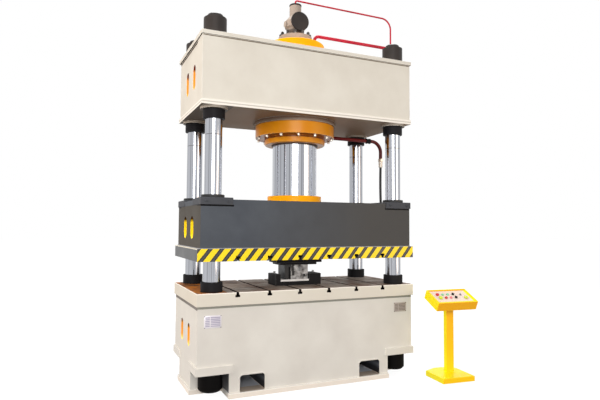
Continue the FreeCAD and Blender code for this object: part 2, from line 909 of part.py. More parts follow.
def make_lower_die():
    base = box(die_left, die_right, die_front, die_back, table_top, die_base_top)
    left_rail = box(die_left, die_left + die_left_rail, die_front, die_back,
                    table_top, die_rail_top)
    right_rail = box(die_right - die_right_rail, die_right, die_front, die_back,
                     table_top, die_rail_top)
    return fuse([base, left_rail, right_rail])


def make_die_insert():
    return box(die_left + die_left_rail + die_insert_gap,
               die_right - die_right_rail - die_insert_gap,
               die_front, die_back, die_base_top, die_insert_top)


def make_die_pins():
    y = (die_front + die_back) / 2.0
    return Part.makeCompound([prism(button_sides, die_pin_radius, die_pin_top - die_rail_top,
                                    Vector(x, y, die_rail_top))
                              for x in (die_pin_left_x, die_pin_right_x)])


def make_upper_plates():
    wide = box(die_left + upper_die_shift, die_right + upper_die_shift, die_front, die_back,
               upper_die_step, platen_bottom)
    narrow = box(die_left + upper_die_inset_x, die_right - upper_die_inset_x,
                 die_front + upper_die_inset_y, die_back - upper_die_inset_y,
                 upper_die_foot, upper_die_step)
    return fuse([wide, narrow])


def make_upper_block():
    # the punch, with a relieved front, an upright groove and a cross hole
    near = die_front + punch_inset_y
    body = box(punch_left, punch_right, near, die_back - punch_inset_y,
               die_insert_top, upper_die_foot)
    x0, x1, z0, z1 = punch_relief
    relief = box(x0, x1, near - overcut, near + punch_relief_depth, z0, z1)
    x0, x1, z1 = punch_groove
    groove = box(x0, x1, near - overcut, near + punch_groove_depth, die_insert_top - overcut, z1)
    hole = Part.makeCylinder(punch_hole_radius, punch_hole_depth,
                             Vector(punch_hole_x, near - overcut, punch_hole_z), -front)
    return body.cut([relief, groove, hole])


# ------------------------------------------------------------- pedestal

def pedestal_spot():
    return Placement(Vector(pedestal_x, pedestal_y, 0.0), Rotation(up, pedestal_turn))


def placed(shape):
    # from the pedestal's own axes to its place beside the press
    shape.Placement = pedestal_spot().multiply(shape.Placement)
    return shape


def on_panel(shape):
    # from panel axes (X across, Y up the slope, Z out) to the pedestal's place
    tilt = Placement(Vector(0.0, box_centre_y, box_centre_z), Rotation(right, box_tilt))
    shape.Placement = pedestal_spot().multiply(tilt).multiply(shape.Placement)
    return shape


def under_the_box():
    # everything above the underside of the tilted box
    slope = math.radians(box_tilt)
    drop = box_height / math.cos(slope)
    line = [Vector(-box_width, y, box_centre_z - drop + (y - box_centre_y) * math.tan(slope))
            for y in (-box_width, box_width)]
    rise = Vector(0, 0, post_reach)
    outline = [line[0], line[1], line[1] + rise, line[0] + rise, line[0]]
    return Part.Face(Part.makePolygon(outline)).extrude(Vector(2 * box_width, 0, 0))


def make_stand():
    half = stand_half_width
    shoulder = stand_back - stand_corner_y
    outline = [Vector(-half, stand_front, 0), Vector(half, stand_front, 0),
               Vector(half, shoulder, 0), Vector(half - stand_corner_x, stand_back, 0),
               Vector(-half + stand_corner_x, stand_back, 0), Vector(-half, shoulder, 0)]
    outline.append(outline[0])
    foot = Part.Face(Part.makePolygon(outline)).extrude(Vector(0, 0, stand_height))
    foot = foot.makeChamfer(stand_chamfer, rim_edges(foot, stand_height))
    post = slab(post_half_width, post_half_depth, stand_height, post_reach)
    post = post.cut(slab(post_half_width - post_wall, post_half_depth - post_wall,
                         stand_height, post_reach))
    post.translate(Vector(post_x, post_y, 0))
    return placed(fuse([foot, post]).cut(under_the_box()))


def make_control_box():
    half_w = box_width / 2.0
    half_l = box_length / 2.0
    room_top = -panel_recess - panel_thickness
    outer = slab(half_w, half_l, -box_height, 0.0)
    upright = [e for e in outer.Edges if e.BoundBox.ZLength > box_height - overcut]
    outer = outer.makeChamfer(box_chamfer, upright)
    opening = slab(half_w - box_rim, half_l - box_rim, room_top, overcut)
    room = slab(half_w - box_wall, half_l - box_wall, -box_height + box_wall, room_top)
    return on_panel(outer.cut([opening, room]))


def make_panel():
    half_w = box_width / 2.0 - box_rim
    half_l = box_length / 2.0 - box_rim
    under = -panel_recess - panel_thickness
    plate = slab(half_w, half_l, under, -panel_recess)
    holes = [prism(stem_sides, button_stem_radius + button_gap, panel_thickness + 2 * overcut,
                   Vector(*control["at"], under - overcut)) for control in controls]
    return on_panel(plate.cut(holes))


def push_button(control):
    x, y = control["at"]
    stem_bottom = -panel_recess - panel_thickness - button_stem_length
    under = -panel_recess + button_travel + button_lift
    stem = prism(stem_sides, button_stem_radius, under - stem_bottom, Vector(x, y, stem_bottom))
    head = prism(button_sides, control["radius"], control["thick"], Vector(x, y, under))
    rims = rim_edges(head, under + control["thick"])
    head = head.makeChamfer(control["thick"] * button_round_share, rims)
    return on_panel(fuse([stem, head]))


def turn_knob(control):
    x, y = control["at"]
    radius = control["radius"]
    stem_bottom = -panel_recess - panel_thickness - button_stem_length
    under = -panel_recess + knob_lift
    top = under + knob_disc_height
    stem = rod(button_stem_radius, stem_bottom, under, x, y)
    disc = prism(button_sides, radius, knob_disc_height, Vector(x, y, under))
    grip = box(x - knob_grip_half, x + knob_grip_half, y - radius, y + radius,
               top, top + knob_grip_height)
    grip.rotate(Vector(x, y, 0), up, control["turns"])
    return on_panel(fuse([stem, disc, grip]))


# ---------------------------------------------------------------- small

def make_nameplates():
    y = -bed_half_depth
    return Part.makeCompound([box(x0, x1, y - nameplate_thickness, y, z0, z1)
                              for x0, x1, z0, z1 in nameplate_edges])


def save(name, shape):
    for solid in shape.Solids:
        if not solid.isValid():
            print("not valid:", name)
    shape.exportStep("parts/" + name + ".step")
    saved.append(name)


saved = []
os.makedirs("parts", exist_ok=True)

save("bed_weldment", make_bed())
save("bed_table", make_table())
save("crown_weldment", make_crown())
column_names = ["column_front_left", "column_front_right", "column_rear_left", "column_rear_right"]
for name, (x, y) in zip(column_names, corners()):
    save(name, make_column(x, y))
save("top_nuts", four(top_nut))
save("bottom_nuts", four(bottom_nut))
save("crown_collars", four(crown_collar))
save("bed_collars", four(bed_collar))

save("cylinder_barrel", make_barrel())
save("cylinder_ring_nut", make_ring_nut())
save("cylinder_gland", make_gland())
save("gland_screws", cap_screws(gland_screw_count, gland_screw_circle, gland_screw_radius,
                                ring_nut_bottom - gland_screw_height, ring_nut_bottom,
                                gland_screw_start))
save("rod_seal", tube(rod_seal_radius, ram_radius + running_gap,
                      gland_bottom - rod_seal_height, gland_bottom))
save("main_ram", make_ram())
save("ram_flange", make_ram_flange())
save("ram_flange_screws", make_ram_screws())

save("prefill_valve_body", make_valve())
save("prefill_cap", rod(valve_cap_radius, valve_neck_top, valve_neck_top + valve_cap_height))
save("prefill_port_cover", make_port_cover())
save("prefill_side_cover", make_side_cover())
save("prefill_bolts", make_valve_bolts())

save("pilot_pipe", make_pilot_pipe())
save("pressure_pipe", make_pressure_pipe())
save("pipe_unions", make_pipe_unions())
save("pipe_clamp", make_pipe_clamp())
save("return_pipe", make_return_pipe())
save("return_union", make_return_union())
save("hose_fitting", make_hose_fitting())
save("return_hose", make_hose())
save("hose_outlet", make_hose_outlet())

save("slide_box", make_slide_box())
save("slide_platen", make_platen())
save("guide_flanges", four(guide_flange))
save("guide_bushes", four(guide_bush))
save("guide_wipers", four(guide_wiper))
save("guide_flange_screws", make_flange_screws())

save("lower_die", make_lower_die())
save("die_insert", make_die_insert())
save("die_guide_pins", make_die_pins())
save("upper_die_plates", make_upper_plates())
save("upper_die_block", make_upper_block())

save("nameplates", make_nameplates())
save("pedestal_stand", make_stand())
save("control_box", make_control_box())
save("control_panel", make_panel())
for control in controls:
    if "turns" in control:
        save(control["name"], turn_knob(control))
    else:
        save(control["name"], push_button(control))

print(len(saved), "nodes")
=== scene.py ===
import bpy
import json
import math
from mathutils import Matrix, Vector

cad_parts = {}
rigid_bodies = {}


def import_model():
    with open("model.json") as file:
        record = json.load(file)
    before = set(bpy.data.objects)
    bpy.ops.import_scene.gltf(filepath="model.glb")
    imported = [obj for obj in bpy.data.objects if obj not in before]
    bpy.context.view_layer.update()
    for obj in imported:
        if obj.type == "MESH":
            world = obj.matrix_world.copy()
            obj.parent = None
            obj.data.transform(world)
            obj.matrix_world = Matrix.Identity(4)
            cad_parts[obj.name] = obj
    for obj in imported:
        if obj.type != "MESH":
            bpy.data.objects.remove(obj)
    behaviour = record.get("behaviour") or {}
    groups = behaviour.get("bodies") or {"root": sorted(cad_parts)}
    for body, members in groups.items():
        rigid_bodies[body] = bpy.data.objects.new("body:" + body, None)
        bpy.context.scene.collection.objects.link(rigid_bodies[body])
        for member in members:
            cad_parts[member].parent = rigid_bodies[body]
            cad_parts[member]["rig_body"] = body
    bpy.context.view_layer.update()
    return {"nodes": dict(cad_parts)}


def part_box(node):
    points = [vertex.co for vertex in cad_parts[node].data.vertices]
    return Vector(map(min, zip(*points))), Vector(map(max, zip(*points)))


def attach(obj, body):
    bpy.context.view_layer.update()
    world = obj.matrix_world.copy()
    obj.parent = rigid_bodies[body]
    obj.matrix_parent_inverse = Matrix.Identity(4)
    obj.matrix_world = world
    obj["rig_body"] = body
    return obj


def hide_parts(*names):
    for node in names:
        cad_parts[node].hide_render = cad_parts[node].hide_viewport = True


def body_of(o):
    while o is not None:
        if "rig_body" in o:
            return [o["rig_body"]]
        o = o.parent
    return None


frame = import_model()

# Places and sizes are in metres. These come from the frame.
FRAME_BODY = "frame"
SLIDE_BODY = "slide"
_, bed_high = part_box("bed_weldment")
crown_low, crown_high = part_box("crown_weldment")
slide_low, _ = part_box("slide_box")
platen_low, platen_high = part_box("slide_platen")

# Half width and half depth of the welded boxes' walls, and of a plan over the whole press
CROWN_WALLS = (1.220, 0.550)
BED_WALLS = (1.235, 0.545)
SLIDE_WALLS = (1.220, 0.545)
WHOLE_PLAN = (1.30, 0.60)

# The crown's plates, and how far its round pad at the cylinder hangs below its underside
ROOF_THICKNESS = 0.040
FLOOR_THICKNESS = 0.050
CYLINDER_PAD = 0.044

# How far a place with its own paint reaches to each side of the face that it colours
SKIN = 0.0015
THIN_SKIN = 0.001

# Edges sharper than the first angle are rounded, and those under the second shade smooth
SHARP_EDGE = math.radians(40.0)
SMOOTH_EDGE = math.radians(35.0)


# ---------------- tools

def linear(code):
    """An sRGB hex colour as the linear RGBA that the shaders take."""
    parts = [int(code[i:i + 2], 16) / 255 for i in (1, 3, 5)]
    return [c / 12.92 if c <= 0.04045 else ((c + 0.055) / 1.055) ** 2.4 for c in parts] + [1.0]


def add(tree, kind, settings):
    """One node with its settings and links.

    A socket, by name or number, takes a value, a hex colour, or another node's output, which
    is linked. stops are a ramp's (position, hex colour) pairs. Other names are the node's own
    settings. On the Mix node 0 is the factor, 6 and 7 the colours, and output 2 the result."""
    node = tree.nodes.new(kind)
    for name, value in settings.items():
        if name == "stops":
            band = node.color_ramp.elements
            while len(band) < len(value):
                band.new(0.5)
            for element, (position, code) in zip(band, value):
                element.position = position
                element.color = linear(code)
        elif not isinstance(name, int) and name not in node.inputs:
            setattr(node, name, value)
        elif isinstance(value, bpy.types.NodeSocket):
            tree.links.new(value, node.inputs[name])
        else:
            node.inputs[name].default_value = linear(value) if isinstance(value, str) else value
    return node


def feed(tree, shader, sources):
    """Other nodes' outputs, linked to the shader's sockets by name."""
    for name, source in sources.items():
        tree.links.new(source, shader.inputs[name])


def new_material(name, code, roughness, metallic=0.0, **settings):
    """A material with its shader, and Object coordinates to hang patterns on."""
    material = bpy.data.materials.new(name)
    material.use_nodes = True
    tree = material.node_tree
    tree.nodes.clear()
    values = {"Base Color": code, "Roughness": roughness, "Metallic": metallic}
    values.update({key.replace("_", " "): value for key, value in settings.items()})
    shader = add(tree, "ShaderNodeBsdfPrincipled", values)
    add(tree, "ShaderNodeOutputMaterial", {"Surface": shader.outputs["BSDF"]})
    place = add(tree, "ShaderNodeTexCoord", {}).outputs["Object"]
    return material, tree, shader, place


def surface_grain(tree, shader, place, size, depth, roughness, patch=0.32):
    """Fine relief of a real size, and roughness that wanders over patches of another."""
    grain = add(tree, "ShaderNodeTexNoise", {"Scale": 1.0 / size, "Detail": 3.0, "Vector": place})
    bump = add(tree, "ShaderNodeBump", {"Distance": depth, "Strength": 0.6,
                                        "Height": grain.outputs["Fac"]})
    patches = add(tree, "ShaderNodeTexNoise", {"Scale": 1.0 / patch, "Detail": 4.0,
                                               "Vector": place}).outputs["Fac"]
    spread = add(tree, "ShaderNodeMapRange", {
        "From Min": 0.3, "From Max": 0.7, "To Min": roughness[0], "To Max": roughness[1],
        "Value": patches})
    feed(tree, shader, {"Normal": bump.outputs["Normal"], "Roughness": spread.outputs["Result"]})
    return patches


def two_tones(tree, patches, low, high, dark, light):
    """Dark where the patches are under the low value, light over the high one."""
    tone = add(tree, "ShaderNodeMapRange", {"From Min": low, "From Max": high, "Value": patches})
    return add(tree, "ShaderNodeMix", {"data_type": "RGBA", 0: tone.outputs["Result"], 6: dark,
                                       7: light}).outputs[2]


def inside_box(tree, place, low, high):
    """1 where a point lies inside the box, 0 outside."""
    middle = (Vector(low) + Vector(high)) / 2
    half = (Vector(high) - Vector(low)) / 2
    centred = add(tree, "ShaderNodeVectorMath", {"operation": "SUBTRACT", 0: place, 1: middle})
    folded = add(tree, "ShaderNodeVectorMath", {"operation": "ABSOLUTE",
                                                0: centred.outputs["Vector"]})
    past = add(tree, "ShaderNodeVectorMath", {"operation": "SUBTRACT",
                                              0: folded.outputs["Vector"], 1: half})
    axes = add(tree, "ShaderNodeSeparateXYZ", {"Vector": past.outputs["Vector"]}).outputs
    side = add(tree, "ShaderNodeMath", {"operation": "MAXIMUM", 0: axes["X"], 1: axes["Y"]})
    most = add(tree, "ShaderNodeMath", {"operation": "MAXIMUM", 0: side.outputs[0], 1: axes["Z"]})
    return add(tree, "ShaderNodeMath", {"operation": "LESS_THAN", 0: most.outputs[0],
                                        1: 0.0}).outputs[0]


def upright_colours(tree, place, stops):
    """A colour that changes with height, from (height in metres, hex colour) stops."""
    bottom, top = stops[0][0], stops[-1][0]
    height = add(tree, "ShaderNodeSeparateXYZ", {"Vector": place}).outputs["Z"]
    share = add(tree, "ShaderNodeMapRange", {"From Min": bottom, "From Max": top, "Value": height})
    shares = [((z - bottom) / (top - bottom), code) for z, code in stops]
    return add(tree, "ShaderNodeValToRGB", {"stops": shares,
                                            "Fac": share.outputs["Result"]}).outputs["Color"]


def painted_places(tree, place, colour, places):
    """A colour with places over it that have a paint of their own."""
    for low, high, paint in places:
        own = paint if isinstance(paint, str) else upright_colours(tree, place, paint)
        colour = add(tree, "ShaderNodeMix", {
            "data_type": "RGBA", 0: inside_box(tree, place, low, high), 6: colour,
            7: own}).outputs[2]
    return colour


# ---------------- places with paint of their own

# Each place is a box, from its low to its high corner, with one colour or with (height,
# colour) stops. Some are real paint or grime. Others stand for light and shade that the
# photograph shows there and the studio light doesn't give, and then the text says so.

def span(side, near, far):
    """Two distances from the middle as coordinates on one side of it, the lower one first."""
    return sorted((side * near, side * far))


def layer(plan, z0, z1):
    """The low and high corners over a plan, given as half width and half depth."""
    half_x, half_y = plan
    return (-half_x, -half_y, z0), (half_x, half_y, z1)


RECESS_DEPTH = 0.052
RECESS_HALF = 0.3
RECESS_MARGIN = 0.01


def recess_paint(walls, z0, z1, foot, middle, top):
    """The recesses in both end walls, in bright paint.

    The lighter foot and the dark top stand for light and shade inside."""
    rise = z1 - z0
    stops = [(z0, foot), (z0 + 0.22 * rise, middle), (z0 + 0.74 * rise, middle),
             (z0 + 0.88 * rise, top), (z1, top)]
    places = []
    for side in (-1, 1):
        x0, x1 = span(side, walls[0] - RECESS_DEPTH, walls[0] - SKIN)
        places.append(((x0, -RECESS_HALF, z0 - RECESS_MARGIN),
                       (x1, RECESS_HALF, z1 + RECESS_MARGIN), stops))
    return places


def seam_shade(walls, z0, z1, end_colour, front_colour):
    """The seam under a plate that stands proud, on both ends and both faces.

    The dark line there is painted shade under the plate."""
    half_x, half_y = walls
    places = []
    for side in (-1, 1):
        x0, x1 = span(side, half_x - SKIN, half_x + SKIN)
        y0, y1 = span(side, half_y - SKIN, half_y + SKIN)
        places.append(((-half_x, y0, z0 + 0.35 * (z1 - z0)), (half_x, y1, z1), front_colour))
        places.append(((x0, -half_y, z0), (x1, half_y, z1), end_colour))
    return places


def crown_places():
    """The crown's underside, its floor plate's edge, its pads and the line under its roof.

    The underside is a darker brown-grey than the cream. The photograph shows brown and grey
    there, which may be primer or shade. Its greyer left end, the dark round the cylinder, the
    grey pads and the dark line under the roof are painted shade. The pale edge of the floor
    plate and the grey line along it are painted light and shade. These tones stand for both,
    and the two on the plate's edge for light and shade."""
    underside = crown_low.z + CYLINDER_PAD
    roof_foot = crown_high.z - ROOF_THICKNESS
    hub_foot = crown_low.z - THIN_SKIN
    left_end = -0.90
    half_x, half_y = WHOLE_PLAN
    places = [
        (*layer(WHOLE_PLAN, underside - THIN_SKIN, underside + THIN_SKIN), "#B39C86"),
        ((-half_x, -half_y, underside - THIN_SKIN), (left_end, half_y, underside + THIN_SKIN),
         "#83786D"),
        (*layer(WHOLE_PLAN, underside + 0.003, underside + 0.048), "#F4EFE6"),
        (*layer(WHOLE_PLAN, underside + 0.020, underside + 0.032), "#CBC6BD"),
        (*layer((0.48, 0.48), hub_foot, hub_foot + CYLINDER_PAD),
         [(hub_foot, "#8E8074"), (hub_foot + 0.020, "#7A6A5E"), (hub_foot + 0.035, "#6E5442"),
          (hub_foot + CYLINDER_PAD, "#6E5442")]),
        (*layer(WHOLE_PLAN, roof_foot - THIN_SKIN, roof_foot + THIN_SKIN), "#4A4038"),
    ]
    pad_x, pad_y, pad_half = 1.071, 0.425, 0.145
    for x in (-pad_x, pad_x):
        for y in (-pad_y, pad_y):
            places.append(((x - pad_half, y - pad_half, underside - 0.026),
                           (x + pad_half, y + pad_half, underside - 0.0011), "#9A9186"))
    return places


FLANGE_FOOT = 1.8870


def slide_places():
    """The slide's end walls, and dark lines under the guide flanges.

    The walls' browner grey and the lines stand for shade."""
    wall_x, wall_y = SLIDE_WALLS
    places = []
    for side in (-1, 1):
        x0, x1 = span(side, wall_x - SKIN, wall_x + 0.0035)
        places.append(((x0, -0.546, 1.4560), (x1, 0.546, FLANGE_FOOT), "#4A4640"))
        for face in (-1, 1):
            x0, x1 = span(side, 0.885, wall_x + SKIN)
            y0, y1 = span(face, wall_y - SKIN, wall_y + SKIN)
            places.append(((x0, y0, 1.8700), (x1, y1, FLANGE_FOOT), "#0C0C0E"))
            x0, x1 = span(side, wall_x - SKIN, wall_x + SKIN)
            y0, y1 = span(face, 0.40, wall_y)
            places.append(((x0, y0, 1.8740), (x1, y1, FLANGE_FOOT), "#161413"))
    return places


POCKET_X = 0.675
POCKET_HALF = 0.1305
POCKET_FLOOR = 0.0490
# The fork pockets' tones by height: a paler floor under dark bands, painted light and shade
POCKET_SHADE_BANDS = [(POCKET_FLOOR, "#B5A698"), (0.0530, "#B5A698"), (0.0600, "#1A191B"),
                (0.1100, "#26262A"), (0.1500, "#5E6168"), (0.1850, "#3A3B40"),
                (0.2050, "#060606"), (0.2130, "#060606")]
CUTOUT_WALL = 0.9150
CUTOUT_ROOF = 0.2450


def bed_places():
    """The fork pockets, the cut-outs round the bottom nuts, and the foot plate.

    All of it is probably cream paint on the real bed. The bands and dark faces are painted
    shade, and the pale pocket floor and the foot plate's lighter cream and bright rim are
    painted light."""
    places = []
    deep = 0.5440
    for x in (-POCKET_X, POCKET_X):
        x0, x1 = x - POCKET_HALF, x + POCKET_HALF
        floor_top = POCKET_SHADE_BANDS[1][0]
        places.append(((x0, -deep, POCKET_FLOOR), (x1, deep, POCKET_SHADE_BANDS[-1][0]), POCKET_SHADE_BANDS))
        places.append(((x0, -0.40, POCKET_FLOOR), (x1, 0.40, floor_top), "#C0C2C8"))
        places.append(((x0, 0.32, POCKET_FLOOR), (x1, 0.40, floor_top), "#303032"))
    for side in (-1, 1):
        x0, x1 = span(side, CUTOUT_WALL - 0.002, CUTOUT_WALL + 0.002)
        x2, x3 = span(side, CUTOUT_WALL + 0.002, 1.2500)
        for end in (-1, 1):
            y0, y1 = span(end, 0.282, deep)
            places.append(((x0, y0, 0.0520), (x1, y1, CUTOUT_ROOF - THIN_SKIN), "#5A595C"))
            places.append(((x2, y0, CUTOUT_ROOF - THIN_SKIN), (x3, y1, CUTOUT_ROOF + THIN_SKIN),
                           "#2A2726"))
    places.append((*layer(WHOLE_PLAN, -0.01, 0.0440), "#EDE4D9"))
    places.append((*layer(WHOLE_PLAN, 0.0440, 0.0487), "#FFFCF4"))
    return places


# Darker tones in the steps of the cylinder's ring and on the valve's neck, for the shade there
RING_STEP_SHADE = [(*layer((0.50, 0.50), 2.6850, 2.6915), "#B06414"),
              (*layer((0.36, 0.36), 2.6660, 2.6850), "#8A4A12"),
              (*layer((0.50, 0.50), 2.8180, 2.8270), "#A85A10")]
VALVE_NECK_SHADE = [(*layer((0.1, 0.1), 3.8860, 3.9900),
               [(3.8860, "#8A7A6E"), (3.9100, "#4E443D"), (3.9600, "#5E534B"),
                (3.9900, "#A89A8E")])]


# ---------------- enamels and coats

def enamel(name, light, dark, roughness=(0.42, 0.54), places=(), peel=0.00035, far=None,
           shine=0.2):
    # Sprayed enamel on filled plate: a soft sheen with slow changes of tone and fine peel.
    # The peel of 2 mm is drawn at 9 mm, since finer would not show. A far colour is what
    # the paint turns to towards the right end, and stands for the light falling off there.
    material, tree, shader, place = new_material(name, light, 0.48, Coat_Weight=0.03,
                                                 Specular_IOR_Level=shine)
    patches = surface_grain(tree, shader, place, 0.009, peel, roughness)
    colour = two_tones(tree, patches, 0.3, 0.7, dark, light)
    if far:
        axes = add(tree, "ShaderNodeSeparateXYZ", {"Vector": place})
        right_end_shade = add(tree, "ShaderNodeMapRange", {"From Min": -0.8, "From Max": 0.7,
                                                 "Value": axes.outputs["X"]})
        colour = add(tree, "ShaderNodeMix", {"data_type": "RGBA", 0: right_end_shade.outputs["Result"],
                                             6: colour, 7: far}).outputs[2]
    feed(tree, shader, {"Base Color": painted_places(tree, place, colour, places)})
    return material


# Dull cream enamel, the press's main colour: warm and even over large flat plates
cream_crown = enamel("cream_enamel_crown", "#DFDBD1", "#D6D1C6", (0.5, 0.62), shine=0.08,
                     places=crown_places()
                     + seam_shade(CROWN_WALLS, 3.546, 3.568, "#5A5046", "#7E7466")
                     + recess_paint(CROWN_WALLS, 3.098, 3.360, "#FFE070", "#FFB444", "#6A1C0C"))
cream_bed = enamel("cream_enamel_bed", "#DEDBD4", "#D4D0C9", places=bed_places()
                   + seam_shade(BED_WALLS, 0.862, 0.900, "#6B635A", "#8F8F86")
                   + recess_paint(BED_WALLS, 0.455, 0.685, "#FFFF9A", "#FFB640", "#5A2C12"))
# The same enamel on rounded edges: nearly white, which stands for the light they catch
cream_edge_highlight = enamel("cream_enamel_edge_highlight", "#FFFFFA", "#FCF8F0", roughness=(0.24, 0.32))
# Dull dark grey enamel on the slide and guide flanges: cool, without highlights. On the slide
# it darkens towards the right end, as painted shade.
slide_grey = enamel("slide_grey_enamel", "#565B62", "#4A4E55", roughness=(0.55, 0.68), shine=0.08,
                    far="#4C4B4A", places=slide_places()
                    + recess_paint(SLIDE_WALLS, 1.544, 1.775, "#FFF04A", "#FFE024", "#3C2412"))
flange_grey = enamel("guide_flange_grey_enamel", "#505257", "#44464B", roughness=(0.55, 0.68),
                     shine=0.08)
# The slide's weld bead in a paler grey, which stands for the light it catches
slide_weld_highlight = enamel("slide_weld_enamel", "#9C9EA5", "#84868C", roughness=(0.28, 0.36))
# Orange enamel on the cylinder's ring and gland, glossier than the plates. Its edges are
# paler, for the light on them.
cylinder_orange = enamel("cylinder_orange_enamel", "#E0930E", "#D07F08", roughness=(0.3, 0.4),
                         places=RING_STEP_SHADE)
orange_edge_highlight = enamel("cylinder_orange_edge", "#F6B050", "#EAA040", roughness=(0.2, 0.3))
# Yellow enamel on the cylinder's head and the ram's flange: strong and even
head_yellow = enamel("cylinder_head_yellow_enamel", "#FFB40A", "#FFA406", roughness=(0.3, 0.4),
                     shine=0.08)
# Glossy red enamel on the pipes over the crown. The return pipe under the crown has it darker
# and duller, as painted shade.
pipe_red = enamel("pipe_red_enamel", "#C4203A", "#A8162A", roughness=(0.2, 0.3))
return_red_shade = enamel("return_pipe_red_enamel", "#701A1C", "#5A1214", roughness=(0.3, 0.4))
# Beige enamel over a rough sand casting: the grain of the sand shows through
valve_beige = enamel("valve_casting_beige_enamel", "#B5A69A", "#92857A", roughness=(0.42, 0.6),
                     peel=0.0012, places=VALVE_NECK_SHADE)

PANEL_CENTRE = (1.5316, -0.8931, 0.9)
PANEL_TURN = math.radians(5.3)
PANEL_FIELD = ((1.3126, -0.9800, 0.8), (1.7506, -0.7700, 1.0))


def panel_enamel():
    # Satin cream enamel on the control panel, inside a yellow margin that was masked
    # square with the panel, which is turned a little from the press.
    material, tree, shader, place = new_material("panel_cream_enamel", "#EAD6CA", 0.35,
                                                 Coat_Weight=0.08)
    patches = surface_grain(tree, shader, place, 0.006, 0.0002, (0.3, 0.4))
    cream = add(tree, "ShaderNodeMix", {"data_type": "RGBA", 0: patches, 6: "#E2CCBF",
                                        7: "#EAD6CA"}).outputs[2]
    square = add(tree, "ShaderNodeVectorRotate", {"rotation_type": "Z_AXIS", "Angle": PANEL_TURN,
                                                  "Center": PANEL_CENTRE, "Vector": place})
    field = inside_box(tree, square.outputs["Vector"], *PANEL_FIELD)
    colour = add(tree, "ShaderNodeMix", {"data_type": "RGBA", 0: field, 6: "#FFE030", 7: cream})
    feed(tree, shader, {"Base Color": colour.outputs[2]})
    return material


panel_cream = panel_enamel()


def powder_coat():
    # Thick powder coat: strong yellow, softly shining. Its grain is drawn at 6 mm, since
    # finer would not show. The yellow is warmer where a face points to the front, most of
    # all high up. That stands for the warm light there, and isn't in the real coat.
    material, tree, shader, place = new_material("pedestal_yellow_powder_coat", "#FFC408", 0.4,
                                                 Specular_IOR_Level=0.3)
    surface_grain(tree, shader, place, 0.006, 0.0003, (0.36, 0.46))
    facing = add(tree, "ShaderNodeTexCoord", {}).outputs["Normal"]
    facing_y = add(tree, "ShaderNodeSeparateXYZ", {"Vector": facing}).outputs["Y"]
    turned = add(tree, "ShaderNodeMapRange", {"From Min": -0.95, "From Max": 0.3,
                                              "Value": facing_y})
    height = add(tree, "ShaderNodeSeparateXYZ", {"Vector": place}).outputs["Z"]
    rise = add(tree, "ShaderNodeMapRange", {"From Min": 0.2, "From Max": 0.95, "Value": height})
    front = add(tree, "ShaderNodeMix", {"data_type": "RGBA", 0: rise.outputs["Result"],
                                        6: "#FFCE08", 7: "#FFB00C"}).outputs[2]
    colour = add(tree, "ShaderNodeMix", {"data_type": "RGBA", 0: turned.outputs["Result"],
                                         6: front, 7: "#FFF60A"})
    feed(tree, shader, {"Base Color": colour.outputs[2]})
    return material


pedestal_yellow = powder_coat()

# The warning stripes: their spacing, the shares of it that are yellow and that are the
# darker border, how far they lean along X for their height, and where the first one is
STRIPE_PITCH = 0.11655
STRIPE_YELLOW = 0.57
STRIPE_BORDER = 0.12
STRIPE_LEAN = 0.8
STRIPE_SHIFT = 2.3756 + 20 * STRIPE_PITCH


